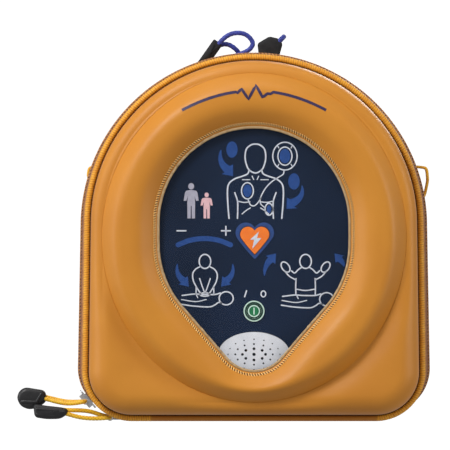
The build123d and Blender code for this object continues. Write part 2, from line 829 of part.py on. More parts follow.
def power_button():
    """Round on/off button with its stem."""
    face_y = DEV_FRONT_Y - OVERLAY_T - POWER_PROUD
    cap = slab(Pos(0, POWER_Z) * Circle(POWER_R), face_y, CAP_BACK_Y)
    cap = fillet(cap.faces().sort_by(Axis.Y)[0].edges(), POWER_ROUND)
    return cap + slab(Pos(0, POWER_Z) * Circle(BUTTON_STEM_R), CAP_BACK_Y, STEM_END_Y)


def speaker_grille():
    """Domed oval grille with rings of holes."""
    radius = SPEAKER_X_R * SPEAKER_X_R / (2 * GRILLE_DOME)
    back = DEV_FRONT_Y + DEV_WALL
    front = DEV_FRONT_Y - OVERLAY_T - GRILLE_DOME
    oval = Ellipse(SPEAKER_X_R - GRILLE_GAP, SPEAKER_Z_R - GRILLE_GAP)
    blank = slab(Pos(0, SPEAKER_Z) * oval, front, back)
    outer = Pos(0, front + radius, SPEAKER_Z) * Sphere(radius)
    inner = Pos(0, front + GRILLE_T + radius, SPEAKER_Z) * Sphere(radius)
    body = (blank & outer) - (blank & inner)
    wall = blank - opening(
        Pos(0, SPEAKER_Z) * Ellipse(SPEAKER_X_R - GRILLE_RIM, SPEAKER_Z_R - GRILLE_RIM)
    )
    rim = wall & outer
    holes = []
    for count, x_r, z_r, hole_r, phase in HOLE_RINGS:
        for k in range(count):
            angle = phase + 360 / count * k
            x = x_r * cos(radians(angle))
            z = SPEAKER_Z + z_r * sin(radians(angle))
            holes.append(opening(Pos(x, z) * Circle(hole_r)))
    return (body + rim) - holes


def speaker_driver():
    """Loudspeaker behind the grille: basket, magnet and cone opening."""
    basket_y = DEV_FRONT_Y + DEV_WALL + DRIVER_GAP
    basket = slab(Pos(0, DRIVER_Z) * Circle(DRIVER_R), basket_y, basket_y + BASKET_T)
    cone = Rot(90, 0, 0) * Cone(DRIVER_R - BASKET_RIM, CONE_SMALL_R, CONE_DEPTH)
    magnet = slab(Pos(0, DRIVER_Z) * Circle(MAGNET_R), basket_y + BASKET_T, basket_y + DRIVER_DEPTH)
    return basket + magnet - Pos(0, basket_y + CONE_Y, DRIVER_Z) * cone


def main_board():
    """Circuit board across the housing, cut clear of the capacitor and the cartridge."""
    face = window_face(BOARD_GROW) & (Pos(0, BOARD_Z) * Rectangle(BOARD_WIDTH, BOARD_HEIGHT))
    return slab(face, BOARD_Y, BOARD_Y + BOARD_T)


def switch(x, z):
    """A push switch on the board, under a button's stem."""
    return slab(Pos(x, z) * Rectangle(SWITCH_SIZE, SWITCH_SIZE), BOARD_Y - SWITCH_T, BOARD_Y)


def hv_capacitor():
    """High-voltage energy capacitor."""
    return Pos(*CAP_PLACE) * (Rot(0, 90, 0) * Cylinder(CAP_R, CAP_LENGTH))


def inductor():
    """Output inductor, a wound ring."""
    return Pos(*COIL_PLACE) * (Rot(90, 0, 0) * Torus(COIL_R, COIL_WIRE_R))


def relay():
    """Isolation relay block."""
    return Pos(*RELAY_PLACE) * Box(*RELAY_SIZE)


def chip():
    """Controller chips on the front of the board."""
    bodies = []
    for x, z, width, height in CHIPS:
        bodies.append(slab(Pos(x, z) * Rectangle(width, height), BOARD_Y - CHIP_T, BOARD_Y))
    return Compound(bodies)


def port_cover():
    """Rubber cover of the data port on the rear housing."""
    face = Pos(0, PORT_Z) * RectangleRounded(*PORT_SIZE, PORT_ROUND)
    return slab(face, DEV_BACK_Y, DEV_BACK_Y + PORT_T)


def cartridge():
    """Housing of the battery and electrode cartridge."""
    z = (CARTRIDGE_Z[0] + CARTRIDGE_Z[1]) / 2
    y = (CARTRIDGE_Y[0] + CARTRIDGE_Y[1]) / 2
    height = CARTRIDGE_Z[1] - CARTRIDGE_Z[0]
    depth = CARTRIDGE_Y[1] - CARTRIDGE_Y[0]
    outer = Pos(0, y, z) * Box(CARTRIDGE_X, depth, height)
    inner = Box(
        CARTRIDGE_X - 2 * CARTRIDGE_WALL_X,
        depth - 2 * CARTRIDGE_WALL_Y,
        height - CARTRIDGE_FLOOR - CARTRIDGE_ROOF,
    )
    return outer - Pos(0, y, z + (CARTRIDGE_FLOOR - CARTRIDGE_ROOF) / 2) * inner


def cells():
    """Battery cells in the cartridge."""
    y = (CARTRIDGE_Y[0] + CARTRIDGE_Y[1]) / 2
    bodies = []
    for k in range(2):
        bodies.append(Pos(CELL_X + CELL_PITCH * k, y, CELL_Z) * Cylinder(CELL_R, CELL_LENGTH))
    return Compound(bodies)


def electrode_pads():
    """Folded packet of electrode pads in the cartridge."""
    y = (CARTRIDGE_Y[0] + CARTRIDGE_Y[1]) / 2
    x, z = PAD_PLACE
    return Pos(x, y, z) * Box(*PAD_SIZE)


def pull_tab():
    """Tab that the cartridge is pulled out by."""
    y = (CARTRIDGE_Y[0] + CARTRIDGE_Y[1]) / 2
    return Pos(0, y, CARTRIDGE_Z[0] - TAB_DROP) * Box(*TAB_SIZE)


def screws():
    """Housing screws, in from the rear."""
    seat = DEV_BACK_Y - SCREW_HEAD_T
    bodies = []
    for x, z in SCREWS:
        shank = slab(Pos(x, z) * Circle(SCREW_R), DEV_SPLIT_Y + GASKET_T, seat)
        head = slab(Pos(x, z) * Circle(SCREW_HEAD_R), seat, DEV_BACK_Y - SCREW_GAP)
        bodies.append(shank + head)
    return Compound(bodies)


def case_mark():
    """Generic heartbeat line printed in an arch above the window."""
    return slab(trace(Polyline(*MARK), MARK_W), -RING_Y - MARK_T, -RING_Y)


def write(name, shape):
    """Writes one node."""
    export_step(shape, f"parts/{name}.step")


os.makedirs("parts", exist_ok=True)
write("case_front_shell", front_shell())
write("case_window_film", window_film())
write("case_window_binding", window_binding())
write("case_front_piping", piping(True))
write("case_front_zip_tape", zip_band(-1))
write("case_front_zip_teeth", zip_strand(-1))
write("case_mark", case_mark())
write("case_back_shell", back_shell())
write("case_back_piping", piping(False))
write("case_back_zip_tape", zip_band(1))
write("case_back_zip_teeth", zip_strand(1))
write("case_hinge_fabric", hinge_fabric())
write("case_zip_stops", zip_stops())
write("zip_slider_upper", slider_upper())
write("zip_slider_lower", slider_lower())
write("pull_cord_upper", cord("pull_cord_upper", UPPER_CORD, PULL_CORD_D))
write("pull_cord_lower", cord("pull_cord_lower", LOWER_CORD, PULL_CORD_D))
write("pull_grip_upper", grip_upper())
write("pull_grip_lower", grip_lower())
write("strap_loop_right", strap_loop(RIGHT_LOOP))
write("strap_loop_left", strap_loop(LEFT_LOOP))
write("handle_cord", cord("handle_cord", HANDLE_CORD, HANDLE_D))
write("handle_inner_cord", cord("handle_inner_cord", HANDLE_INNER_CORD, HANDLE_D))
write("handle_end_cord", cord("handle_end_cord", HANDLE_END_CORD, HANDLE_D))
write("handle_sleeve_left", sleeve(LEFT_SLEEVE))
write("handle_sleeve_right", sleeve(RIGHT_SLEEVE))
write("handle_anchor", handle_anchor())
write("case_cradle", cradle())
write("device_front_housing", device_front())
write("device_rear_housing", device_rear())
write("device_gasket", gasket())
write("device_overlay", overlay())
write("shock_button_surround", shock_surround())
write("shock_button", shock_button())
write("shock_button_flash", shock_bolt())
write("power_button_ring", power_ring())
write("power_button", power_button())
write("speaker_grille", speaker_grille())
write("speaker_driver", speaker_driver())
write("main_board", main_board())
write("shock_switch", switch(HEART_X, HEART_Z))
write("power_switch", switch(0, POWER_Z))
write("controller_chips", chip())
write("hv_capacitor", hv_capacitor())
write("output_inductor", inductor())
write("isolation_relay", relay())
write("data_port_cover", port_cover())
write("cartridge_housing", cartridge())
write("cartridge_cells", cells())
write("cartridge_electrode_pads", electrode_pads())
write("cartridge_pull_tab", pull_tab())
write("housing_screws", screws())
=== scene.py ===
import math
import random

import bpy
import numpy as np
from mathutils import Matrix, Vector, noise


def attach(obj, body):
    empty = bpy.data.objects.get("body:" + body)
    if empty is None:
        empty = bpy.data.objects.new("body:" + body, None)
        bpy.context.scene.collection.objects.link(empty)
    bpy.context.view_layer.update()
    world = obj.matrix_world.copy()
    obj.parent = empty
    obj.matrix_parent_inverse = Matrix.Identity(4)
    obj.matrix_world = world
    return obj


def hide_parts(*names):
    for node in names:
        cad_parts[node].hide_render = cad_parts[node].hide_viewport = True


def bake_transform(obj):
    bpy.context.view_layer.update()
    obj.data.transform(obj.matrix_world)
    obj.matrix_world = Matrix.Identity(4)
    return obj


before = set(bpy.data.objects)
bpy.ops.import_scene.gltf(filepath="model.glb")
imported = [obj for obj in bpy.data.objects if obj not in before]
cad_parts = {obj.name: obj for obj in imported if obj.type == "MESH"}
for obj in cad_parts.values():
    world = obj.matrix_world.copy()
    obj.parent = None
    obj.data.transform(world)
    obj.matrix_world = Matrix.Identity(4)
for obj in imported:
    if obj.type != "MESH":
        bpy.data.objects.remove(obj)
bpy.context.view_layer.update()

random.seed(7)
MM = 0.001
ROOT = "case_back_with_device"
LID = "lid"
PAINTED_SHADE_MARK = "painted_shade"  # the mesh attribute that holds painted shade; it darkens a finish in its crevices and gaps

# Case, millimetres: x to the right, z up, y away from the front. A depth is measured from the zip's
# middle plane, forward for the lid and backward for the back half.
CENTRE = (0.0, 112.0)
RAYS = 720
PIPE_R = 1.95
PIPE_Y = 8.05
WALL_RIM = 6.4
SHELL_INSET = 2.55
LINING_INSET = 5.6
LINING_BEND = 9.0
LINING_FOOT = 14
FRONT_LINING = 30.6
BACK_LINING = 32.1
FRONT_SIDE = 21.0
BACK_SIDE = 22.5
EDGE_R = 13.0
RING = (0.0, 118.0, 97.5, 105.5)
RING_RISE = 13.0
RING_TOP = 41.9
WINDOW_LIP = 30.65
CONE_RUN = 19.0
VALLEY_DIP = 3.0
VALLEY_WIDTH = 9.0
VALLEY_START = 8
FRONT_WAVES = (42, 0.25, 3.1)
BACK_WAVES = (45, 0.3, 8.7)
STITCH_OFF = 2.4
STITCH_PITCH = 1.55
ZIP_CORNER_X = 84.3
HINGE_LEFT = -66.0
HINGE_RIGHT = 79.0
TAPE_OUTER_Y = 7.3
TAPE_INNER_Y = 1.5
TOOTH_PITCH = 2.2
PIPING_PITCH = 1.5
HANDLE_Y = (10.4, 18.8)
LOOP_Y = (11.5, 25.5)
ANCHOR_Y = (11, 21)
ANCHOR_DEGREES = (76, 113.01)
ANCHOR_R = 106
STRAP_WEAVE = 1.3
HINGE_STRIP_X = (-64, 77.01)
HINGE_STRIP_Y = 5.9

# Cord thickness and the foam's remeshing, metres.
PULL_CORD_D = 0.0028
HANDLE_CORD_D = 0.0031
FOAM_VOXEL = 0.0014

# Cord routes, metres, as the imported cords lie.
UPPER_CORD = [
    (-0.1390, 0.0026, 0.0153), (-0.1336, 0.0025, 0.0141), (-0.1275, 0.0014, 0.0124),
    (-0.1212, -0.0006, 0.0112), (-0.1149, -0.0025, 0.0114), (-0.1084, -0.0031, 0.01266),
    (-0.1084, 0.0031, 0.01266), (-0.1149, 0.0036, 0.0122), (-0.1213, 0.0044, 0.0124),
    (-0.1275, 0.0052, 0.0137), (-0.1336, 0.0056, 0.0153), (-0.1390, 0.0056, 0.0166),
]
LOWER_CORD = [
    (-0.1246, -0.0042, 0.0059), (-0.1185, -0.0042, 0.0042), (-0.1120, -0.0041, 0.0024),
    (-0.1055, -0.0036, 0.0017), (-0.0990, -0.0031, 0.0017), (-0.0925, -0.0031, 0.00225),
    (-0.0925, 0.0031, 0.00225), (-0.0988, 0.0027, 0.0039), (-0.1052, 0.0010, 0.0062),
    (-0.1118, -0.0010, 0.0069), (-0.1184, -0.0019, 0.0069), (-0.1246, -0.0020, 0.0073),
]
HANDLE_CORD = [
    (-0.0294, 0.0120, 0.2354), (-0.0230, 0.0120, 0.2430), (-0.0155, 0.0120, 0.2499),
    (-0.0056, 0.0120, 0.2501), (0.0001, 0.0121, 0.2440), (-0.0020, 0.0124, 0.2396),
    (-0.0068, 0.0129, 0.2370), (-0.0126, 0.0132, 0.2350),
]
HANDLE_INNER_CORD = [
    (-0.0318, 0.0158, 0.2322), (-0.0262, 0.0159, 0.2392), (-0.0216, 0.0159, 0.2426),
    (-0.0164, 0.0159, 0.2430), (-0.0116, 0.0164, 0.2398), (-0.0092, 0.0176, 0.2368),
    (-0.0096, 0.0188, 0.2348),
]
HANDLE_END_CORD = [
    (0.0096, 0.0121, 0.2360), (0.0132, 0.0121, 0.2416), (0.0194, 0.0121, 0.2476),
    (0.0194, 0.0170, 0.2476), (0.0134, 0.0170, 0.2414), (0.0096, 0.0170, 0.2360),
]


# ---------------------------------------------------------------- outlines

def distances(points):
    """How far along a line each of its points lies."""
    return np.concatenate([[0], np.cumsum(np.linalg.norm(np.diff(points, axis=0), axis=1))])


def unit_steps(points, closed=False):
    """The line's unit direction at each of its points."""
    ahead = np.roll(points, -1, 0) - np.roll(points, 1, 0) if closed else np.gradient(points, axis=0)
    return ahead / np.linalg.norm(ahead, axis=1, keepdims=True)


def right_of(ahead):
    return np.stack([ahead[:, 1], -ahead[:, 0]], 1)


def at_depth(flat, y):
    """Points in x and z set at y, which is one number or one for each."""
    return np.stack([flat[:, 0], np.broadcast_to(y, len(flat)), flat[:, 1]], 1)


def counterclockwise(outline):
    outline = np.asarray(outline, float)
    area = np.sum(outline[:, 0] * np.roll(outline[:, 1], -1) - np.roll(outline[:, 0], -1) * outline[:, 1])
    return outline if area > 0 else outline[::-1]


class Outline:
    """The smooth hull of a top circle and one or two lower ones, each (x, z, radius)."""

    def __init__(self, circles, samples=2880):
        self.circles = np.array(circles, float)
        angles = np.linspace(-math.pi / 2, 1.5 * math.pi, samples, endpoint=False) + 1e-6
        self.normals = np.stack([np.cos(angles), np.sin(angles)], 1)
        reach = self.normals @ self.circles[:, :2].T + self.circles[:, 2]
        self.owner = reach.argmax(1)
        self.support = reach.max(1)

    def depth(self, points):
        """Distance inside the outline, negative outside it."""
        flat = np.asarray(points, float).reshape(-1, 2)
        out = np.empty(len(flat))
        for start in range(0, len(flat), 4096):
            part = flat[start:start + 4096]
            out[start:start + 4096] = (self.support - part @ self.normals.T).min(1)
        return out.reshape(np.asarray(points).shape[:-1])

    def reach(self, angles, grow=0.0):
        """How far each ray from the case's centre runs to the outline grown by that much."""
        rays = np.stack([np.cos(angles), np.sin(angles)], 1)
        ahead = rays @ self.normals.T
        room = self.support + grow - self.normals @ np.array(CENTRE)
        return np.where(ahead > 1e-3, room / np.maximum(ahead, 1e-3), 1e9).min(1)

    def edge(self, grow=0.0):
        owners = self.circles[self.owner]
        return owners[:, :2] + (owners[:, 2:] + grow) * self.normals

    def trace(self, step, grow=0.0, first=0.0, last=None):
        """Evenly spaced points and outward normals, from the right corner's foot over the top.
        first and last are distances along it; without last it closes on itself."""
        points = self.edge(grow)
        loop = np.vstack([points, points[:1]])
        gone = distances(loop)
        total = gone[-1]
        closed = last is None
        last = total if closed else last
        count = max(8, int(round((last - first) / step)))
        at = np.linspace(first, last, count, endpoint=not closed)
        normals = np.vstack([self.normals, self.normals[:1]])
        where = np.mod(at, total)
        place = np.stack([np.interp(where, gone, loop[:, i]) for i in (0, 1)], 1)
        facing = np.stack([np.interp(where, gone, normals[:, i]) for i in (0, 1)], 1)
        facing /= np.linalg.norm(facing, axis=1, keepdims=True)
        return place, facing, at

    def length(self):
        points = self.edge()
        return np.linalg.norm(points - np.roll(points, -1, 0), axis=1).sum()


def arch(top_z, top_r, corner_x, corner_z, corner_r, inset=0.0):
    return Outline([
        (0.0, top_z, top_r - inset),
        (corner_x, corner_z, corner_r - inset),
        (-corner_x, corner_z, corner_r - inset),
    ])


PIPE_SIZES = (127.0, 107.0, 78.3, 31.95, 30.0)
PIPE = arch(*PIPE_SIZES)
ZIP = arch(125.5, 111.6, ZIP_CORNER_X, 34.0, 29.0)
ZIP_FIRST = HINGE_RIGHT - ZIP_CORNER_X
ZIP_LAST = ZIP.length() - 2 * ZIP_CORNER_X + (ZIP_CORNER_X + HINGE_LEFT)
SHELL = arch(*PIPE_SIZES, inset=SHELL_INSET)
INNER = arch(*PIPE_SIZES, inset=LINING_INSET)
WINDOW = Outline([(0.0, 127.4, 61.3), (0.0, 114.0, 61.3), (0.0, 55.7, 23.1)])


# ---------------------------------------------------------------- mesh helpers

def new_mesh(name, verts, faces, materials, smooth=True, face_material=None, shade=None):
    """A mesh object from millimetre points. shade is the painted shade at each point, which the materials mix
    in as a darker colour.
    """
    mesh = bpy.data.meshes.new(name)
    mesh.from_pydata((np.asarray(verts, float) * MM).tolist(), [], [tuple(map(int, f)) for f in faces])
    for one in materials:
        mesh.materials.append(one)
    if face_material is not None:
        mesh.polygons.foreach_set("material_index", np.asarray(face_material, np.int32))
    if smooth:
        mesh.polygons.foreach_set("use_smooth", [True] * len(mesh.polygons))
    if shade is not None:
        layer = mesh.attributes.new(PAINTED_SHADE_MARK, "FLOAT", "POINT")
        layer.data.foreach_set("value", np.asarray(shade, np.float32))
    mesh.update()
    piece = bpy.data.objects.new(name, mesh)
    bpy.context.scene.collection.objects.link(piece)
    return piece


def grid_faces(rows, columns, wrap_rows=False, wrap_columns=True, flip=False):
    """Quads between neighbouring rows of points, stored row after row."""
    r = np.arange(rows if wrap_rows else rows - 1)
    c = np.arange(columns if wrap_columns else columns - 1)
    rr, cc = np.meshgrid(r, c, indexing="ij")
    nr, nc = (rr + 1) % rows, (cc + 1) % columns
    a, b, d, e = rr * columns + cc, rr * columns + nc, nr * columns + nc, nr * columns + cc
    quads = np.stack([a, b, d, e] if not flip else [a, e, d, b], -1)
    return [tuple(quad) for quad in quads.reshape(-1, 4).tolist()]


class Batch:
    """Collects many small closed shapes into one mesh."""

    def __init__(self):
        self.verts, self.faces, self.shade, self.count = [], [], [], 0

    def add(self, verts, faces, shade=0.0):
        verts = np.asarray(verts, float)
        self.verts.append(verts)
        self.faces += [tuple(int(i) + self.count for i in f) for f in faces]
        self.shade.append(np.full(len(verts), shade) if np.isscalar(shade) else np.asarray(shade))
        self.count += len(verts)

    def piece(self, name, materials, smooth=True):
        return new_mesh(name, np.vstack(self.verts), self.faces, materials, smooth,
                        shade=np.concatenate(self.shade))


def strip_faces(rows, count, flip=False):
    """Faces round a strip whose rows run along it, with a cap on each end."""
    faces = grid_faces(rows, count, wrap_rows=True, wrap_columns=False, flip=flip)
    start = tuple(row * count for row in range(rows))
    end = tuple(corner + count - 1 for corner in start)
    return faces + ([start[::-1], end] if flip else [start, end[::-1]])


def capsule(start, end, radius, sides=8, rings=3, flat=1.0):
    """A rod with round ends, as points and faces. flat squeezes it from front to back."""
    start, end = np.array(start, float), np.array(end, float)
    along = end - start
    along /= np.linalg.norm(along)
    up = np.array((0, -1, 0), float)
    up -= along * np.dot(up, along)
    up /= np.linalg.norm(up)
    side = np.cross(along, up)
    turn = np.linspace(0, 2 * math.pi, sides, endpoint=False)
    rows = []
    for tip, sign in ((start, -1), (end, 1)):
        if sign < 0:
            lift = np.linspace(math.pi / 2, 0, rings + 1)[1:]
        else:
            lift = np.linspace(0, math.pi / 2, rings + 1)[:-1]
        for angle in lift:
            centre = tip + along * sign * radius * math.sin(angle)
            ring = radius * math.cos(angle)
            rows.append(centre + np.outer(np.cos(turn), up) * ring * flat
                        + np.outer(np.sin(turn), side) * ring)
    verts = np.vstack(rows + [[start - along * radius], [end + along * radius]])
    faces = grid_faces(len(rows), sides, flip=True)
    low, high, last = len(verts) - 2, len(verts) - 1, (len(rows) - 1) * sides
    for i in range(sides):
        j = (i + 1) % sides
        faces.append((low, i, j))
        faces.append((high, last + j, last + i))
    return verts, faces


def frames_along(points, closed=False):
    """Two directions across a line at each point, which turn as little as they can."""
    tangents = unit_steps(points, closed)
    side = np.cross(tangents[0], (0.0, 1.0, 0.0))
    side = side if np.linalg.norm(side) > 0.1 else np.cross(tangents[0], (0.0, 0.0, 1.0))
    sides = []
    for tangent in tangents:
        side = side - tangent * np.dot(side, tangent)
        side /= np.linalg.norm(side)
        sides.append(side)
    sides = np.array(sides)
    return sides, np.cross(tangents, sides)


def tube(points, radius_at, sides=16, closed=False):
    """A tube along points. radius_at(distance, angle) gives the radius and the shade there."""
    points = np.asarray(points, float)
    across, over = frames_along(points, closed)
    turn = np.linspace(0, 2 * math.pi, sides, endpoint=False)
    s, a = np.meshgrid(distances(points), turn, indexing="ij")
    radius, shade = radius_at(s, a)
    verts = (points[:, None] + across[:, None] * (np.cos(a) * radius)[..., None]
             + over[:, None] * (np.sin(a) * radius)[..., None]).reshape(-1, 3)
    faces = grid_faces(len(points), sides, wrap_rows=closed, flip=True)
    shade = np.broadcast_to(shade, s.shape).reshape(-1)
    if not closed:
        last = (len(points) - 1) * sides
        faces.append(tuple(range(sides)))
        faces.append(tuple(last + i for i in reversed(range(sides))))
    return verts, faces, shade


def pillow(outline, low, high, rounding, crown=0.0, rings=6):
    """A closed slab with rounded edges over an outline in x and z, from y low to y high."""
    outline = counterclockwise(outline)
    normal = right_of(unit_steps(outline, closed=True))
    middle = outline.mean(0)
    rows = []
    for y, way, angles in ((high, -1, np.linspace(math.pi / 2, 0, rings)),
                           (low, 1, np.linspace(0, math.pi / 2, rings))):
        for angle in angles:
            rows.append(at_depth(outline - normal * rounding * (1 - math.cos(angle)),
                                 y + way * rounding * (1 - math.sin(angle))))
    back, face = rows[0], rows[-1]

    def domed(row, share, bulge):
        return at_depth(middle + (row[:, ::2] - middle) * share, row[0, 1] + bulge * (1 - share ** 2))

    shares = (0.8, 0.55, 0.28)
    rows = ([domed(back, share, crown) for share in shares[::-1]] + rows
            + [domed(face, share, -crown) for share in shares])
    count = len(outline)
    tips = [(middle[0], back[0, 1] + crown, middle[1]), (middle[0], face[0, 1] - crown, middle[1])]
    verts = np.vstack(rows + [tips])
    faces = grid_faces(len(rows), count)
    first, last, base = len(verts) - 2, len(verts) - 1, (len(rows) - 1) * count
    for i in range(count):
        j = (i + 1) % count
        faces.append((first, j, i))
        faces.append((last, base + i, base + j))
    return verts, faces


# ---------------------------------------------------------------- materials

def srgb(red, green, blue):
    """A display colour, 0 to 255, as the linear colour that the shader takes."""
    def one(value):
        value /= 255
        return value / 12.92 if value <= 0.04045 else ((value + 0.055) / 1.055) ** 2.4
    return (one(red), one(green), one(blue), 1.0)


def material(name, colour, other, patch, roughness, grain, bump, rough_swing=0.08, metallic=0.0,
             sheen=0.0, coat=0.0, alpha=1.0, specular=0.5, crevice_shade=None, pattern="noise"):
    """A finish: two mixed colours, a fine bump, and a painted shade colour mixed in as far as the mesh marks
    shade in its crevices and gaps.
    patch and grain are the sizes, in metres, of the colour patches and of the surface grain."""
    mat = bpy.data.materials.new(name)
    mat.use_nodes = True
    nodes, links = mat.node_tree.nodes, mat.node_tree.links
    shader = nodes["Principled BSDF"]
    for socket, value in (("Metallic", metallic), ("Sheen Weight", sheen), ("Sheen Roughness", 0.45),
                          ("Coat Weight", coat), ("Coat Roughness", 0.12), ("Alpha", alpha),
                          ("Specular IOR Level", specular)):
        shader.inputs[socket].default_value = value
    place = nodes.new("ShaderNodeTexCoord").outputs["Object"]

    patches = nodes.new("ShaderNodeTexNoise")
    patches.inputs["Scale"].default_value = 1 / patch
    patches.inputs["Detail"].default_value = 4
    links.new(place, patches.inputs["Vector"])
    tint = nodes.new("ShaderNodeValToRGB")
    for element, position, shown in zip(tint.color_ramp.elements, (0.3, 0.7), (colour, other)):
        element.position = position
        element.color = srgb(*shown)
    links.new(patches.outputs["Fac"], tint.inputs["Fac"])
    result = tint.outputs["Color"]
    # Painted shade: the darker colour goes where the mesh's painted shade value is high.
    if crevice_shade is not None:
        mark = nodes.new("ShaderNodeAttribute")
        mark.attribute_name = PAINTED_SHADE_MARK
        mix = nodes.new("ShaderNodeMix")
        mix.data_type = "RGBA"
        links.new(mark.outputs["Fac"], mix.inputs["Factor"])
        links.new(result, mix.inputs["A"])
        mix.inputs["B"].default_value = srgb(*crevice_shade)
        result = mix.outputs["Result"]
    links.new(result, shader.inputs["Base Color"])

    swing = nodes.new("ShaderNodeMapRange")
    swing.inputs["To Min"].default_value = roughness - rough_swing
    swing.inputs["To Max"].default_value = roughness + rough_swing
    links.new(patches.outputs["Fac"], swing.inputs["Value"])
    links.new(swing.outputs["Result"], shader.inputs["Roughness"])

    if pattern == "leather":
        fine = nodes.new("ShaderNodeTexVoronoi")
        fine.feature = "DISTANCE_TO_EDGE"
        fine.inputs["Scale"].default_value = 1 / grain
        height = fine.outputs["Distance"]
    elif pattern == "weave":
        fine = nodes.new("ShaderNodeTexWave")
        fine.wave_type = "BANDS"
        fine.bands_direction = "DIAGONAL"
        fine.inputs["Scale"].default_value = 0.3 / grain
        fine.inputs["Distortion"].default_value = 1.2
        fine.inputs["Detail"].default_value = 2
        height = fine.outputs["Fac"]
    else:
        fine = nodes.new("ShaderNodeTexNoise")
        fine.inputs["Scale"].default_value = 1 / grain
        fine.inputs["Detail"].default_value = 3
        height = fine.outputs["Fac"]
    links.new(place, fine.inputs["Vector"])
    relief = nodes.new("ShaderNodeBump")
    relief.inputs["Strength"].default_value = bump
    relief.inputs["Distance"].default_value = grain * 0.4
    links.new(height, relief.inputs["Height"])
    links.new(relief.outputs["Normal"], shader.inputs["Normal"])
    return mat


# Each finish: name, two colours, patch, roughness, grain and bump, then what is special to it.
SKIN = material("case_skin", (212, 140, 44), (204, 131, 38), 0.05, 0.44, 0.0007, 0.3, sheen=0.06,
                pattern="leather", specular=0.42, crevice_shade=(120, 66, 24))
LINING = material("case_lining", (44, 44, 48), (58, 58, 62), 0.004, 0.9, 0.0009, 0.5, sheen=0.3,
                  pattern="weave", specular=0.15)
EDGE = material("raw_edge", (205, 175, 130), (165, 135, 95), 0.002, 0.8, 0.0004, 0.4)
PIPING = material("piping", (246, 180, 46), (228, 156, 34), 0.006, 0.6, 0.0004, 0.3, sheen=0.06,
                  crevice_shade=(176, 104, 26))
TAPE = material("zip_tape", (206, 146, 82), (176, 112, 52), 0.003, 0.75, 0.0005, 0.5, sheen=0.2,
                pattern="weave", crevice_shade=(112, 50, 20))
TEETH = material("zip_teeth", (206, 150, 92), (170, 110, 56), 0.004, 0.42, 0.0004, 0.15, crevice_shade=(88, 34, 12))
THREAD = material("thread_light", (255, 216, 140), (244, 186, 96), 0.003, 0.6, 0.0002, 0.3, sheen=0.2)
# Dark brown that paints the shade in the seam beside the piping and in the stitch holes round the window.
SHADE_BROWN = material("painted_shade_brown", (112, 56, 20), (84, 38, 14), 0.003, 0.65, 0.0002, 0.3)
WEBBING = material("case_webbing", (248, 190, 48), (226, 160, 36), 0.004, 0.7, 0.0005, 0.4, sheen=0.3,
                   crevice_shade=(130, 76, 26))
HINGE = material("hinge_fabric", (168, 108, 50), (146, 90, 40), 0.003, 0.8, 0.0006, 0.5, sheen=0.2,
                 pattern="weave", crevice_shade=(92, 48, 18))
YELLOW = material("yellow_cord", (255, 208, 34), (240, 176, 22), 0.003, 0.5, 0.0003, 0.35, sheen=0.3,
                  crevice_shade=(150, 92, 16))
BLUE = material("blue_cord", (52, 68, 172), (34, 46, 132), 0.003, 0.5, 0.0003, 0.35, sheen=0.3,
                crevice_shade=(10, 14, 48))
SLEEVE = material("black_sleeve", (26, 26, 28), (38, 38, 40), 0.003, 0.72, 0.0004, 0.4, specular=0.3)
GRIP = material("black_grip", (24, 24, 26), (36, 36, 38), 0.004, 0.38, 0.0003, 0.2)
METAL = material("slider_metal", (206, 208, 212), (160, 164, 170), 0.002, 0.36, 0.0003, 0.15, metallic=0.55)
NAVY_PRINT = material("print_navy", (44, 34, 74), (54, 42, 84), 0.004, 0.5, 0.0004, 0.15)
PANEL = material("panel_navy", (15, 33, 60), (10, 25, 46), 0.05, 0.55, 0.0004, 0.05, specular=0.12,
                 crevice_shade=(14, 20, 32))
WHITE = material("print_white", (226, 230, 238), (204, 210, 222), 0.002, 0.5, 0.0003, 0.05, specular=0.15)
PRINT_BLUE = material("print_blue", (44, 82, 150), (36, 70, 134), 0.003, 0.5, 0.0003, 0.05, specular=0.15)
LILAC = material("print_lilac", (186, 184, 198), (170, 168, 184), 0.003, 0.5, 0.0003, 0.05, specular=0.15)
PINK = material("print_pink", (238, 198, 202), (228, 182, 188), 0.003, 0.5, 0.0003, 0.05, specular=0.15)
SURROUND = material("surround_blue", (36, 72, 136), (30, 62, 120), 0.003, 0.4, 0.0003, 0.08)
ORANGE = material("heart_orange", (255, 132, 30), (248, 120, 22), 0.004, 0.4, 0.0004, 0.1)
MINT = material("ring_white", (214, 240, 226), (196, 228, 212), 0.003, 0.35, 0.0003, 0.08)
GREEN = material("button_green", (22, 128, 74), (16, 112, 64), 0.003, 0.38, 0.0003, 0.1)
# A darker green that paints the shade in the groove round the on/off button.
GROOVE_SHADE_GREEN = material("groove_shade_green", (10, 66, 44), (8, 56, 38), 0.003, 0.45, 0.0003, 0.05)
GRILLE = material("grille_white", (232, 234, 240), (220, 223, 230), 0.006, 0.36, 0.0004, 0.08)
HOUSING = material("housing", (70, 72, 78), (62, 64, 70), 0.01, 0.5, 0.0005, 0.25)
RUBBER = material("gasket", (28, 28, 30), (36, 36, 38), 0.004, 0.8, 0.0004, 0.2)
FOAM = material("foam", (48, 48, 52), (60, 60, 64), 0.003, 0.95, 0.0008, 0.7, sheen=0.2)
FILM = material("clear_film", (170, 184, 210), (150, 166, 196), 0.05, 0.2, 0.01, 0.02, rough_swing=0.04,
                alpha=0.012)
BOARD = material("board_green", (20, 88, 50), (14, 70, 40), 0.002, 0.4, 0.0004, 0.3)
CHIP = material("chip_black", (22, 22, 24), (34, 34, 36), 0.002, 0.45, 0.0003, 0.2)
CAPACITOR = material("capacitor", (40, 70, 140), (32, 58, 120), 0.004, 0.35, 0.0004, 0.1, coat=0.3)
COPPER = material("copper_winding", (196, 108, 58), (160, 82, 42), 0.001, 0.3, 0.0004, 0.6, metallic=1.0)
RELAY = material("relay_grey", (186, 190, 196), (168, 172, 180), 0.004, 0.5, 0.0004, 0.15)
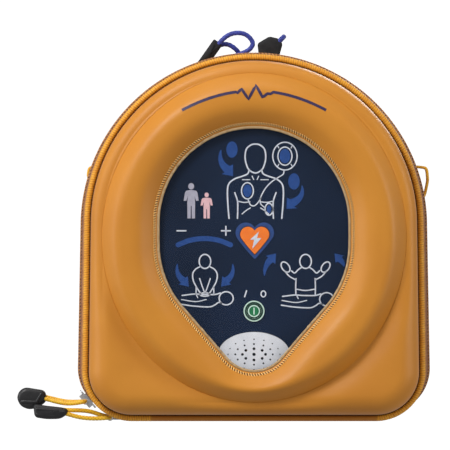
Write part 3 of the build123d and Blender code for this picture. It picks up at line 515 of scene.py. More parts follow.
CARTRIDGE = material("cartridge_grey", (156, 160, 168), (144, 148, 156), 0.006, 0.5, 0.0005, 0.25)
CELL = material("cell", (120, 124, 132), (90, 94, 102), 0.004, 0.35, 0.0004, 0.1, metallic=0.6)
FOIL = material("pad_foil", (206, 210, 216), (180, 184, 192), 0.003, 0.3, 0.0012, 0.7, metallic=0.9)
TAB = material("tab_green", (110, 176, 60), (92, 156, 48), 0.004, 0.45, 0.0004, 0.2)
SCREW = material("screw_steel", (150, 152, 156), (120, 122, 128), 0.001, 0.32, 0.0003, 0.2, metallic=1.0)
SPEAKER = material("driver_black", (20, 20, 22), (30, 30, 32), 0.002, 0.6, 0.0005, 0.3)

CAD_FINISHES = {
    "case_window_film": FILM, "zip_slider_upper": METAL, "zip_slider_lower": METAL, "case_zip_stops": METAL,
    "device_front_housing": HOUSING, "device_rear_housing": HOUSING, "device_gasket": RUBBER,
    "device_overlay": PANEL, "shock_button_surround": SURROUND, "shock_button": ORANGE,
    "shock_button_flash": WHITE, "power_button_ring": MINT, "power_button": GREEN, "speaker_grille": GRILLE,
    "speaker_driver": SPEAKER, "main_board": BOARD, "shock_switch": CHIP, "power_switch": CHIP,
    "controller_chips": CHIP, "hv_capacitor": CAPACITOR, "output_inductor": COPPER, "isolation_relay": RELAY,
    "data_port_cover": RUBBER, "cartridge_housing": CARTRIDGE, "cartridge_cells": CELL,
    "cartridge_electrode_pads": FOIL, "cartridge_pull_tab": TAB, "housing_screws": SCREW,
}


def finish_cad_nodes():
    for name, finish in CAD_FINISHES.items():
        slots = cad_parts[name].material_slots
        for index in range(len(slots)):
            slots[index].material = finish


# ---------------------------------------------------------------- camera and light

EYE = (-0.01856, -5.0, 0.1261)
LENS = 621.6
FAR_CLIP = 200  # past the room's walls


def camera():
    data = bpy.data.cameras.new("camera")
    data.lens = LENS
    data.sensor_width = 36
    data.clip_start = 0.05
    data.clip_end = FAR_CLIP
    eye = bpy.data.objects.new("camera", data)
    eye.location = EYE
    eye.rotation_euler = (math.radians(90), 0, 0)
    bpy.context.scene.collection.objects.link(eye)
    bpy.context.scene.camera = eye


FLOOR_Z = -300  # clear of the lid, which swings below the base when it opens
ROOM = 30000
PAPER_GLOW = 0.75
WORLD_GLOW = 0.36
AIM = Vector((0, 0, 0.12))
LIGHTS = {  # where, width and height, watts
    "key_light": ((-0.75, -1.1, 1.15), (0.4, 0.4), 16.5),
    "top_light": ((-0.1, -0.25, 1.3), (0.9, 0.5), 2.6),
    "right_light": ((1.35, -0.55, 0.35), (0.5, 0.9), 5.4),
    "left_light": ((-1.35, -0.35, 0.3), (0.5, 0.9), 5.2),
    "back_light": ((0.7, 1.7, 1.1), (0.9, 0.9), 13),
}


def area_light(name, place, size, power):
    data = bpy.data.lights.new(name, "AREA")
    data.shape = "RECTANGLE"
    data.size, data.size_y = size
    data.energy = power
    lamp = bpy.data.objects.new(name, data)
    lamp.location = place
    lamp.rotation_euler = (AIM - Vector(place)).to_track_quat("-Z", "Y").to_euler()
    bpy.context.scene.collection.objects.link(lamp)


def studio():
    """Soft lights in a large white room whose walls throw no light or shadow on the object."""
    for name, light in LIGHTS.items():
        area_light(name, *light)
    world = bpy.data.worlds.new("studio")
    world.use_nodes = True
    world.node_tree.nodes["Background"].inputs["Color"].default_value = (1, 1, 1, 1)
    world.node_tree.nodes["Background"].inputs["Strength"].default_value = WORLD_GLOW
    bpy.context.scene.world = world
    bpy.context.scene.view_settings.view_transform = "Standard"
    paper = bpy.data.materials.new("studio_paper")
    paper.use_nodes = True
    shader = paper.node_tree.nodes["Principled BSDF"]
    for socket, value in (("Base Color", (0.9, 0.9, 0.9, 1)), ("Roughness", 0.9),
                          ("Emission Color", (1, 1, 1, 1)), ("Emission Strength", PAPER_GLOW)):
        shader.inputs[socket].default_value = value
    corners = [(-ROOM, -ROOM), (ROOM, -ROOM), (ROOM, ROOM), (-ROOM, ROOM)]
    sides = [(0, 4, 5, 1), (1, 5, 6, 2), (2, 6, 7, 3), (3, 7, 4, 0), (4, 7, 6, 5)]
    low, high = ([(x, y, z) for x, y in corners] for z in (FLOOR_Z, ROOM))
    floor = new_mesh("studio_floor", low, [(0, 1, 2, 3)], [paper], smooth=False)
    wall = new_mesh("studio_wall", low + high, sides, [paper], smooth=False)
    for sheet in (floor, wall):
        sheet.visible_diffuse = False
        sheet.visible_glossy = False
        sheet.visible_shadow = False


# ---------------------------------------------------------------- cords

def route_points(route, spacing):
    """Evenly spaced millimetre points on the smooth line that the route's control points draw."""
    data = bpy.data.curves.new("route", "CURVE")
    data.dimensions = "3D"
    data.resolution_u = 24
    spline = data.splines.new("NURBS")
    spline.points.add(len(route) - 1)
    for point, place in zip(spline.points, route):
        point.co = (*place, 1)
    spline.order_u = 3
    spline.use_endpoint_u = True
    guide = bpy.data.objects.new("route", data)
    bpy.context.scene.collection.objects.link(guide)
    bpy.context.view_layer.update()
    mesh = bpy.data.meshes.new_from_object(guide)
    points = np.array([v.co for v in mesh.vertices]) / MM
    bpy.data.meshes.remove(mesh)
    bpy.data.objects.remove(guide)
    gone = distances(points)
    at = np.linspace(0, gone[-1], int(gone[-1] / spacing) + 1)
    return np.stack([np.interp(at, gone, points[:, i]) for i in range(3)], 1), gone[-1]


def braid(radius, pitch, strands, relief):
    """Crossing helices: the strands stand proud and the gaps between them get painted shade."""
    def at(s, angle):
        wave = 2 * math.pi * s / pitch
        left = 0.5 + 0.5 * np.cos(strands * angle + wave)
        right = 0.5 + 0.5 * np.cos(strands * angle - wave)
        high = np.maximum(left, right) ** 0.6
        swell = radius * (1 - relief + relief * 1.6 * high - relief * 0.4)
        return swell, np.clip(0.9 - 1.35 * high, 0, 0.8)
    return at


def pull_cord(name, node, route, body, pitch, strands, relief):
    points, length = route_points(route, 0.22)
    verts, faces, shade = tube(points, braid(PULL_CORD_D / MM / 2, pitch, strands, relief), sides=28)
    piece = new_mesh(name, verts, faces, [YELLOW], shade=shade)
    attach(piece, body)
    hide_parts(node)


def handle_piece(name, node, route):
    points, length = route_points(route, 0.25)
    verts, faces, shade = tube(points, braid(HANDLE_CORD_D / MM / 2, 2.6, 4, 0.07), sides=28)
    piece = new_mesh(name, verts, faces, [BLUE], shade=shade)
    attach(piece, ROOT)
    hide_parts(node)


# ---------------------------------------------------------------- shells

ANGLES = np.linspace(0, 2 * math.pi, RAYS, endpoint=False)


def on_rays(radii, angles=ANGLES):
    """Points that far from the case's centre, one on each ray."""
    return np.stack([CENTRE[0] + radii * np.cos(angles), CENTRE[1] + radii * np.sin(angles)], 1)


def ray_angles(points):
    return np.arctan2(points[:, 1] - CENTRE[1], points[:, 0] - CENTRE[0])


def waves(points, size, height, seed):
    """A slow unevenness, as of leather over foam."""
    return np.array([noise.noise(Vector((x / size, z / size, seed))) for x, z in points]) * height


def shoulder(depth, side):
    """How far forward the moulded edge stands at that depth inside the wall."""
    near = np.clip(depth, 0, EDGE_R) / EDGE_R
    return side + EDGE_R * np.sqrt(np.maximum(0, 1 - (1 - near) ** 2))


def smooth_least(a, b, soft):
    """The lesser of two heights, with their crossing rounded over."""
    gap = np.clip(0.5 + 0.5 * (b - a) / soft, 0, 1)
    return b * (1 - gap) + a * gap - soft * gap * (1 - gap)


def ring_foot(angles):
    """Each ray's reach to the padded ring's outer edge, and the height that the ring rises from there."""
    cx, cz, a, b = RING
    dx, dz = np.cos(angles) / a, np.sin(angles) / b
    ox, oz = (CENTRE[0] - cx) / a, (CENTRE[1] - cz) / b
    aa, bb, cc = dx * dx + dz * dz, 2 * (dx * ox + dz * oz), ox * ox + oz * oz - 1
    reach = (-bb + np.sqrt(bb * bb - 4 * aa * cc)) / (2 * aa)
    deep = np.clip(SHELL.depth(on_rays(reach, angles)), 0, None)
    return reach, shoulder(deep, FRONT_SIDE) - VALLEY_DIP * np.clip(deep / VALLEY_START, 0, 1)


def front_height(points, ring_in, foot):
    """Forward height of the padded ring, from its foot to the window, and each point's way to the window."""
    rise = foot + (RING_TOP - foot) * np.sin(math.pi / 2 * np.clip(ring_in / RING_RISE, 0, 1))
    off = np.clip(-WINDOW.depth(points), 0, None)
    cone = WINDOW_LIP + (RING_TOP - WINDOW_LIP) * np.sin(math.pi / 2 * np.clip(off / CONE_RUN, 0, 1))
    groove = 0.55 * np.exp(-((off - STITCH_OFF) / 0.75) ** 2)
    slow = waves(points, *FRONT_WAVES) * np.clip(off / 8, 0, 1)
    return smooth_least(rise, cone, 3.0) - groove + slow, off


def ring_surface(points):
    """Forward height of the padded ring at any points on it."""
    reach, foot = ring_foot(ray_angles(points))
    return front_height(points, reach - np.linalg.norm(points - np.array(CENTRE), axis=1), foot)[0]


class Moulding:
    """One half of the case: rows of points on the rays, from the rim over the outside to the lining."""

    def __init__(self, side):
        self.side, self.rows, self.shades, self.lining = side, [], [], []

    def row(self, radii, depth, shade=0.0, inside=False):
        self.rows.append(at_depth(on_rays(radii), self.side * depth))
        self.shades.append(np.broadcast_to(shade, RAYS).astype(float))
        self.lining.append(inside)

    def outer_wall(self, wall, last):
        # The first rows carry painted shade, darkest at the rim where the skin tucks in beside the piping.
        for depth, pull, shade in ((WALL_RIM, 0.4, 0.9), (8.5, 0.4, 0.9), (10.2, 0.25, 0.75),
                                   (11.6, 0.05, 0.35), (13, -0.05, 0), (16, -0.1, 0), (last, -0.06, 0)):
            self.row(wall - pull, depth, shade)

    def lined_wall(self, inner, top):
        """The lining's bend from its flat face, then its side down to the rim."""
        for angle in np.linspace(0, math.pi / 2, 7):
            self.row(inner - LINING_BEND * (1 - math.sin(angle)),
                     top - LINING_BEND + LINING_BEND * math.cos(angle), inside=True)
        self.row(inner, LINING_FOOT, inside=True)
        self.row(inner, WALL_RIM, inside=True)

    def kinds(self):
        """1 for each face of the lining, 0 for the skin's."""
        pairs = zip(self.lining, self.lining[1:] + self.lining[:1])
        return np.repeat([int(a and b) for a, b in pairs], RAYS)

    def piece(self, name, faces, kinds):
        return new_mesh(name, np.vstack(self.rows), faces, [SKIN, LINING], face_material=kinds,
                        shade=np.concatenate(self.shades))


def front_shell():
    wall, window, inner = (outline.reach(ANGLES) for outline in (SHELL, WINDOW, INNER))
    ring, foot = ring_foot(ANGLES)
    half = Moulding(-1)
    half.outer_wall(wall, 19)
    slack = wall - ring
    for step in np.linspace(0, 1, 34)[:-1]:
        spread = step * step * (3 - 2 * step)
        radii = wall - slack * spread
        points = on_rays(radii)
        deep = np.clip(SHELL.depth(points), 0, None)
        outside = slack * (1 - spread)
        dip = VALLEY_DIP * np.exp(-(outside / VALLEY_WIDTH) ** 2) * np.clip(deep / VALLEY_START, 0, 1)
        crown = 0.5 * np.exp(-((deep - 15) / 9) ** 2)
        half.row(radii, shoulder(deep, FRONT_SIDE) - dip + crown + waves(points, *FRONT_WAVES))
    run = ring - window
    for step in np.linspace(0, 1, 62):
        along = step - 0.135 * math.sin(2 * math.pi * step)
        radii = ring - run * along
        height, off = front_height(on_rays(radii), run * along, foot)
        # Painted shade along the stitch groove round the window.
        half.row(radii, height, 0.35 * np.exp(-((off - STITCH_OFF) / 0.6) ** 2))
    half.row(window, FRONT_LINING, inside=True)
    for step in np.linspace(0.15, 0.8, 6):
        half.row(window + (inner - LINING_BEND - window) * step, FRONT_LINING, inside=True)
    half.lined_wall(inner, FRONT_LINING)
    faces = grid_faces(len(half.rows), RAYS, wrap_rows=True, flip=True)
    piece = half.piece("case_front_skin", faces, half.kinds())
    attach(piece, LID)
    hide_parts("case_front_shell")


def back_shell():
    wall, inner = SHELL.reach(ANGLES), INNER.reach(ANGLES)
    half = Moulding(1)
    half.outer_wall(wall, 19.5)
    for step in np.linspace(0, 1, 44)[:-1]:
        spread = step * step * (1.6 - 0.6 * step)
        radii = wall * (1 - 0.985 * spread)
        points = on_rays(radii)
        deep = np.clip(SHELL.depth(points), 0, None)
        channel = 1.1 * np.exp(-((deep - 24) / 2.6) ** 2)
        slow = waves(points, *BACK_WAVES) * np.clip(deep / 20, 0, 1)
        half.row(radii, shoulder(deep, BACK_SIDE) - channel + slow)
    cut = (len(half.rows) - 1) * RAYS
    for step in np.linspace(0.015, 1, 12)[:-1]:
        half.row((inner - LINING_BEND) * step, BACK_LINING, inside=True)
    half.lined_wall(inner, BACK_LINING)
    faces, kinds = grid_faces(len(half.rows), RAYS, wrap_rows=True), list(half.kinds())

    # A cap closes the skin's middle and another the lining's, in place of the faces between them.
    outer_cap, inner_cap = range(cut, cut + RAYS), range(cut + RAYS, cut + 2 * RAYS)
    faces = faces[:cut] + faces[cut + RAYS:] + [tuple(outer_cap), tuple(inner_cap[::-1])]
    kinds = kinds[:cut] + kinds[cut + RAYS:] + [0, 1]
    piece = half.piece("case_back_skin", faces, kinds)
    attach(piece, ROOT)
    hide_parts("case_back_shell")


# ---------------------------------------------------------------- rims: piping, tape, teeth, seams

def on_hinge(points):
    """1 along the bottom between the zip's two ends, where the rim is a plain folded tape."""
    x, z = points[:, 0], points[:, 2]
    return ((z < 5.5) & (x > HINGE_LEFT) & (x < HINGE_RIGHT)).astype(float)


def piping(side, body, name, node):
    place, _, _ = PIPE.trace(0.3)
    points = at_depth(place, side * PIPE_Y)
    plain = on_hinge(points)[:, None]

    def corded(s, angle):
        ridge = 0.5 + 0.5 * np.cos(2 * math.pi * s / PIPING_PITCH + side * angle)
        cross = 0.5 + 0.5 * np.cos(2 * math.pi * s / PIPING_PITCH * 0.5 - side * 2 * angle)
        high = (0.75 * ridge + 0.25 * cross) * (1 - plain) + 0.5 * plain
        # Painted shade between the cord's ridges; along the hinge the piping is plain and evenly darker.
        shade = np.clip(0.75 - 1.1 * high, 0, 1) * (1 - plain) + 0.8 * plain
        return PIPE_R * (0.93 + 0.08 * high), shade

    verts, faces, shade = tube(points, corded, sides=18, closed=True)
    piece = new_mesh(name, verts, faces, [PIPING], shade=shade)
    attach(piece, body)
    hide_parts(node)


def zip_tape(side, body, name, node):
    place, _, at = ZIP.trace(0.55, first=ZIP_FIRST, last=ZIP_LAST)
    angles = ray_angles(place)
    outer = ZIP.reach(angles, -1.1)
    inner = PIPE.reach(angles, 0.9)
    rows, shades = [], []
    profile = [(t, 0.0) for t in np.linspace(0, 1, 7)] + [(t, 0.7) for t in np.linspace(1, 0, 7)]
    for part, under in profile:
        radius = inner + (outer - inner) * part - under + 0.5 * math.sin(math.pi * part)
        ribs = 0.05 * np.cos(2 * math.pi * at / 1.1) * (1 if under == 0 else 0)
        y = side * (TAPE_OUTER_Y + (TAPE_INNER_Y - TAPE_OUTER_Y) * part)
        rows.append(at_depth(on_rays(radius + ribs, angles), y))
        # Painted shade, darker towards the teeth where the tape runs in under the coil.
        shades.append(np.full(len(place), np.clip((part - 0.3) * 2.2, 0, 0.95)))
    count = len(place)
    faces = strip_faces(len(rows), count, flip=side > 0)
    piece = new_mesh(name, np.vstack(rows), faces, [TAPE], shade=np.concatenate(shades))
    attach(piece, body)
    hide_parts(node)


def zip_teeth(side, body, name, node):
    last = ZIP_LAST - 3
    place, _, _ = ZIP.trace(0.37, grow=-0.62, first=ZIP_FIRST, last=last)
    points = at_depth(place, side * 0.8)
    shift = 0.0 if side < 0 else math.pi

    def coil(s, angle):
        bump = 0.5 + 0.5 * np.cos(2 * math.pi * s / TOOTH_PITCH + shift)
        # Painted shade in the gaps between the coil's bumps.
        return 0.42 + 0.2 * bump, np.clip(0.9 - 1.5 * bump, 0, 0.85)

    batch = Batch()
    batch.add(*tube(points, coil, sides=10))
    first = ZIP_FIRST + (TOOTH_PITCH / 2 if side > 0 else 0)
    place, facing, _ = ZIP.trace(TOOTH_PITCH, first=first, last=last)
    for spot, out in zip(place, facing):
        start = (spot[0] - out[0] * 3.2, side * 4.3, spot[1] - out[1] * 3.2)
        end = (spot[0] - out[0] * 0.9, side * 1.1, spot[1] - out[1] * 0.9)
        # Each tooth carries a little painted shade.
        batch.add(*capsule(start, end, 0.55, sides=8, rings=2), 0.12)
    piece = batch.piece(name, [TEETH])
    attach(piece, body)
    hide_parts(node)


def seam(side, body, name):
    """The folded edge between piping and shell and the stitches along it, all dark brown as painted shade in
    the seam.
    """
    place, facing, _ = PIPE.trace(1.5)
    batch = Batch()
    rows = []
    for grow, y in ((-0.4, 7.9), (-3.2, 7.9), (-3.2, 7.1), (-0.4, 7.1)):
        rows.append(at_depth(place + facing * grow, side * y))
    batch.add(np.vstack(rows), grid_faces(4, len(place), wrap_rows=True, flip=side > 0))
    place, facing, _ = PIPE.trace(2.1)
    for spot, out in zip(place, facing):
        along = np.array([-out[1], out[0]])
        a = spot + along * 0.62 - out * 2.15
        b = spot - along * 0.62 - out * 2.45
        batch.add(*capsule((a[0], side * 9.9, a[1]), (b[0], side * 9.9, b[1]), 0.3, sides=6, rings=2))
    piece = batch.piece(name, [SHADE_BROWN])
    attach(piece, body)


# ---------------------------------------------------------------- window edge

def window_edge():
    place, facing, _ = WINDOW.trace(0.7)
    wobble = np.array([noise.noise(Vector((x * 0.35, z * 0.35, 2.2))) for x, z in place])
    rows = []
    for grow, forward in ((-0.9, 30.66), (-0.95, 31.2), (-0.6, 31.62), (0.1, 31.75), (0.75, 31.5),
                          (0.8, 30.66)):
        rows.append(at_depth(place + facing * (grow + 0.12 * wobble)[:, None], -forward))
    faces = grid_faces(len(rows), len(place), wrap_rows=True)
    piece = new_mesh("window_binding", np.vstack(rows), faces, [EDGE])
    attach(piece, LID)
    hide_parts("case_window_binding")

    stitches, hole_shades = Batch(), Batch()
    place, facing, _ = WINDOW.trace(STITCH_PITCH)
    for spot, out in zip(place, facing):
        along = np.array([-out[1], out[0]])
        ends = [spot + out * STITCH_OFF + (along * 0.4 + out * 0.62) * way for way in (1, -1)]
        ends += [spot + out * (STITCH_OFF + 0.55 * way) + along * STITCH_PITCH / 2 for way in (1, -1)]
        lift = ring_surface(np.array(ends))
        thread = [(x, -high - 0.16, z) for (x, z), high in zip(ends[:2], lift[:2])]
        # Dark spots in the stitch holes: painted shade.
        hole = [(x, -high + 0.06, z) for (x, z), high in zip(ends[2:], lift[2:])]
        stitches.add(*capsule(*thread, 0.36, sides=8, rings=3))
        hole_shades.add(*capsule(*hole, 0.32, sides=8, rings=3))
    for batch, name, finish in ((stitches, "window_stitches", THREAD), (hole_shades, "window_stitch_hole_shades", SHADE_BROWN)):
        piece = batch.piece(name, [finish])
        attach(piece, LID)


# ---------------------------------------------------------------- straps, sleeves, grips, hinge, foam

def round_corners(outline, cut, steps=6):
    """A closed polygon with each corner replaced by a small curve that starts cut before it."""
    outline = np.asarray(outline, float)
    points = []
    for index, corner in enumerate(outline):
        before, after = outline[index - 1], outline[(index + 1) % len(outline)]
        back, ahead = before - corner, after - corner
        back *= min(cut, np.linalg.norm(back) * 0.45) / np.linalg.norm(back)
        ahead *= min(cut, np.linalg.norm(ahead) * 0.45) / np.linalg.norm(ahead)
        for t in np.linspace(0, 1, steps):
            points.append(corner + back * (1 - t) ** 2 + ahead * t ** 2)
    return np.array(points)


def open_smooth(points, cuts=(0.12, 0.25, 0.25, 0.25)):
    """The line with its corners cut again and again, little at first so that the bends stay tight."""
    points = np.asarray(points, float)
    for share in cuts:
        a, b = points[:-1], points[1:]
        cut = np.stack([(1 - share) * a + share * b, share * a + (1 - share) * b], 1).reshape(-1, 2)
        points = np.vstack([points[:1], cut[1:-1], points[-1:]])
    return points


def webbing(y, first, pitch, at):
    """Height of a strap's weave, 0 to 1, and the painted shade in its dips, at y and that far along the
    strap.
    """
    rib = 0.5 + 0.5 * math.cos(2 * math.pi * (y - first) / pitch)
    cross = 0.5 + 0.5 * np.cos(2 * math.pi * at / STRAP_WEAVE + math.pi * round((y - first) / pitch))
    high = 0.55 * rib + 0.45 * cross
    return high, np.clip(0.85 - 1.3 * high, 0, 0.85)


def strap_loop(name, node, route):
    """A flat woven strap, 14 mm wide, bent round in x and z."""
    route = open_smooth(route)
    gone = distances(route)
    at = np.arange(0, gone[-1], 0.35)
    line = np.stack([np.interp(at, gone, route[:, i]) for i in (0, 1)], 1)
    out = right_of(unit_steps(line))
    across = np.linspace(*LOOP_Y, 41)
    rows, shades = [], []
    for sign, ys in ((1, across), (-1, across[::-1])):
        for y in ys:
            high, shade = webbing(y, LOOP_Y[0], 1.75, at)
            rows.append(at_depth(line + out * (sign * (0.62 + 0.28 * high))[:, None], y))
            shades.append(shade)
    faces = strip_faces(len(rows), len(line), flip=True)
    piece = new_mesh(name, np.vstack(rows), faces, [WEBBING], shade=np.concatenate(shades))
    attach(piece, ROOT)
    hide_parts(node)


def sleeve(name, node, outline, cut):
    verts, faces = pillow(round_corners(outline, cut), *HANDLE_Y, 2.0, crown=0.25)
    piece = new_mesh(name, verts, faces, [SLEEVE])
    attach(piece, ROOT)
    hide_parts(node)
    return piece


def grip(name, node, body, outline, low, high, ridge):
    batch = Batch()
    batch.add(*pillow(round_corners(outline, 2.6), low, high, 2.6, crown=0.35))
    for start, end, radius in ridge:
        batch.add(*capsule(start, end, radius, sides=14, rings=5, flat=0.7))
    piece = batch.piece(name, [GRIP])
    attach(piece, body)
    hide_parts(node)
    return piece


def handle_anchor():
    """Webbing strip sewn to the back shell's top, under the handle."""
    angles = np.radians(np.arange(*ANCHOR_DEGREES, 0.18))
    at = angles * ANCHOR_R
    ys = np.linspace(*ANCHOR_Y, 31)
    rows, shades = [], []
    for radius, order in ((106.3, ys), (104.6, ys[::-1])):
        for y in order:
            high, shade = webbing(y, ANCHOR_Y[0], 1.67, at)
            r = radius + (high - 1) * 0.25
            flat = np.stack([r * np.cos(angles), PIPE_SIZES[0] + r * np.sin(angles)], 1)
            rows.append(at_depth(flat, y))
            shades.append(shade)
    faces = strip_faces(len(rows), len(at))
    piece = new_mesh("handle_webbing", np.vstack(rows), faces, [WEBBING], shade=np.concatenate(shades))
    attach(piece, ROOT)
    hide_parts("handle_anchor")


def hinge_fabric():
    """The woven strip under the case, along the lid's hinge."""
    xs, ys = np.arange(*HINGE_STRIP_X, 0.7), np.linspace(HINGE_STRIP_Y, -HINGE_STRIP_Y, 25)
    x, y = np.meshgrid(xs, ys, indexing="ij")
    weave = 0.06 * np.cos(2 * math.pi * x / 1.4) * np.cos(2 * math.pi * y / 1.0)
    low, high = 0.12 + weave, 0.95 + weave - 0.06
    rows = np.concatenate([np.stack([x, y, high], -1), np.stack([x, y, low], -1)[:, ::-1]], 1)
    count = rows.shape[1]
    faces = grid_faces(len(xs), count, flip=True)
    faces.append(tuple(range(count)))
    faces.append(tuple((len(xs) - 1) * count + i for i in reversed(range(count))))
    piece = new_mesh("hinge_strip", rows.reshape(-1, 3), faces, [HINGE])
    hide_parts("case_hinge_fabric")
    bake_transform(piece)


def foam_cradle():
    """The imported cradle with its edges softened."""
    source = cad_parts["case_cradle"].data.copy()
    source.materials.clear()
    source.materials.append(FOAM)
    piece = bpy.data.objects.new("foam_cradle", source)
    bpy.context.scene.collection.objects.link(piece)
    remesh = piece.modifiers.new("remesh", "REMESH")
    remesh.mode = "VOXEL"
    remesh.voxel_size = FOAM_VOXEL
    soften = piece.modifiers.new("soften", "SMOOTH")
    soften.iterations = 4
    bpy.context.view_layer.update()
    mesh = bpy.data.meshes.new_from_object(piece.evaluated_get(bpy.context.evaluated_depsgraph_get()))
    piece.modifiers.clear()
    piece.data = mesh
    mesh.polygons.foreach_set("use_smooth", [True] * len(mesh.polygons))
    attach(piece, ROOT)
    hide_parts("case_cradle")


# ---------------------------------------------------------------- printed figures

INK_FRONT = 26.62
INK_BACK = 26.5
SIGN_FRONT = 27.88
GROOVE_FRONT = 27.58
POWER_KEY = (0, 71)
CLOSE_PAD = (19.8, 170.2)
PRESSING_X = -31.4
CLEAR_X = 33.0


def curve_through(points, steps=8, closed=False):
    """A smooth line through the points."""
    p = [np.array(q, float) for q in points]
    p = [p[-1]] + p + p[:2] if closed else [2 * p[0] - p[1]] + p + [2 * p[-1] - p[-2]]
    out = []
    for a, b, c, d in zip(p, p[1:], p[2:], p[3:]):
        for t in np.linspace(0, 1, steps, endpoint=False):
            out.append(0.5 * (2 * b + (c - a) * t + (2 * a - 5 * b + 4 * c - d) * t * t
                              + (3 * b - a - 3 * c + d) * t ** 3))
    if not closed:
        out.append(p[-2])
    return np.array(out)


def flat_shape(batch, outline, front=INK_FRONT):
    """A filled flat shape on the panel."""
    outline = counterclockwise(outline)
    count = len(outline)
    verts = [(x, -front, z) for x, z in outline] + [(x, -INK_BACK, z) for x, z in outline]
    faces = [tuple(range(count)), tuple(range(2 * count - 1, count - 1, -1))]
    faces += [(i, i + count, (i + 1) % count + count, (i + 1) % count) for i in range(count)]
    batch.add(verts, faces)


def stroke(batch, points, width=0.85, closed=False, front=INK_FRONT):
    """A line of even width on the panel, with round ends."""
    points = np.asarray(points, float)
    ahead = unit_steps(points, closed)
    side = -right_of(ahead) * width / 2
    if closed:
        count = len(points)
        ring = np.stack([points + side, points - side, points - side, points + side], 1).reshape(-1, 2)
        verts = at_depth(ring, np.tile([-front, -front, -INK_BACK, -INK_BACK], count))
        batch.add(verts, grid_faces(count, 4, wrap_rows=True, flip=True))
        return

    def tip(spot, out):
        start = math.atan2(*(out[::-1])) - math.pi / 2
        turn = start + np.linspace(0, math.pi, 7)[1:-1]
        return spot + np.stack([np.cos(turn), np.sin(turn)], 1) * width / 2

    outline = [points + side, tip(points[-1], ahead[-1])[::-1], (points - side)[::-1],
               tip(points[0], -ahead[0])[::-1]]
    flat_shape(batch, np.vstack(outline), front)


def oval(centre, x_r, z_r, count=40, lean=0.0):
    turn = np.linspace(0, 2 * math.pi, count, endpoint=False)
    x, z = np.cos(turn) * x_r, np.sin(turn) * z_r
    c, s = math.cos(math.radians(lean)), math.sin(math.radians(lean))
    return np.stack([centre[0] + x * c - z * s, centre[1] + x * s + z * c], 1)


def ring(batch, *shape, width=0.85, front=INK_FRONT):
    stroke(batch, oval(*shape), width, closed=True, front=front)


def curved(batch, points, width=0.85):
    stroke(batch, curve_through(points), width)


def bent_arrow(batch, tail, bend, neck, tip, half):
    """A curved arrow that swells from a thin tail to a broad three-cornered head."""
    tail, bend, neck, tip = (np.array(p) for p in (tail, bend, neck, tip))
    t = np.linspace(0, 1, 16)[:, None]
    line = tail * (1 - t) ** 2 + 2 * bend * t * (1 - t) + neck * t ** 2
    side = -right_of(unit_steps(line)) * (0.25 + half * 0.5 * t ** 0.8)
    way = (tip - neck) / np.linalg.norm(tip - neck)
    across = np.array([-way[1], way[0]]) * half
    flat_shape(batch, np.vstack([line + side, [neck + across, tip, neck - across], (line - side)[::-1]]))


def standing_figure(batch, x, foot, top, width):
    """A plain standing person: a head and a body with arms and legs."""
    height = top - foot
    head = height * 0.09
    flat_shape(batch, oval((x, top - head), head * 0.92, head, 28))
    shoulder_z = top - head * 2.2
    half = width / 2
    arm = width * 0.18
    hand = foot + height * 0.5
    right = [(0.22 * half, shoulder_z), (0.68 * half, shoulder_z - 0.02 * height),
             (0.84 * half, shoulder_z - 0.08 * height), (half, hand), (half - arm, hand),
             (half - arm * 1.5, shoulder_z - 0.16 * height), (0.52 * half, foot + height * 0.44),
             (0.5 * half, foot), (0.08 * half, foot), (0.05 * half, foot + height * 0.36)]
    outline = [(x + dx, z) for dx, z in right] + [(x - dx, z) for dx, z in reversed(right)]
    flat_shape(batch, outline)


def lying_figure(batch, x, z):
    """A person lying down, feet at x: upper line, lower line, arm and a round blank head."""
    def line(*steps, width=0.85):
        curved(batch, [(x + dx, z + dz) for dx, dz in steps], width)

    line((0, 0), (7.7, 0.9), (13, 0.6), (20.6, 0.6), (24.4, 1.6))
    line((-0.8, -5.6), (7.7, -6.8), (17.2, -7.3), (21, -6), (23.4, -4.4), (25.4, -5.0))
    line((-0.4, -2.6), (8.6, -3.9), (15.4, -2.6), width=0.65)
    line((9.2, 0.2), (10.0, -1.4), width=0.65)
    ring(batch, (x + 28.2, z - 1.8), 4.5, 4.2, 32)


def both_sides(batch, middle, points, width=0.85):
    """A line and its mirror image about an upright middle line."""
    line = curve_through(points)
    stroke(batch, line, width)
    stroke(batch, line * (-1, 1) + (2 * middle, 0), width)


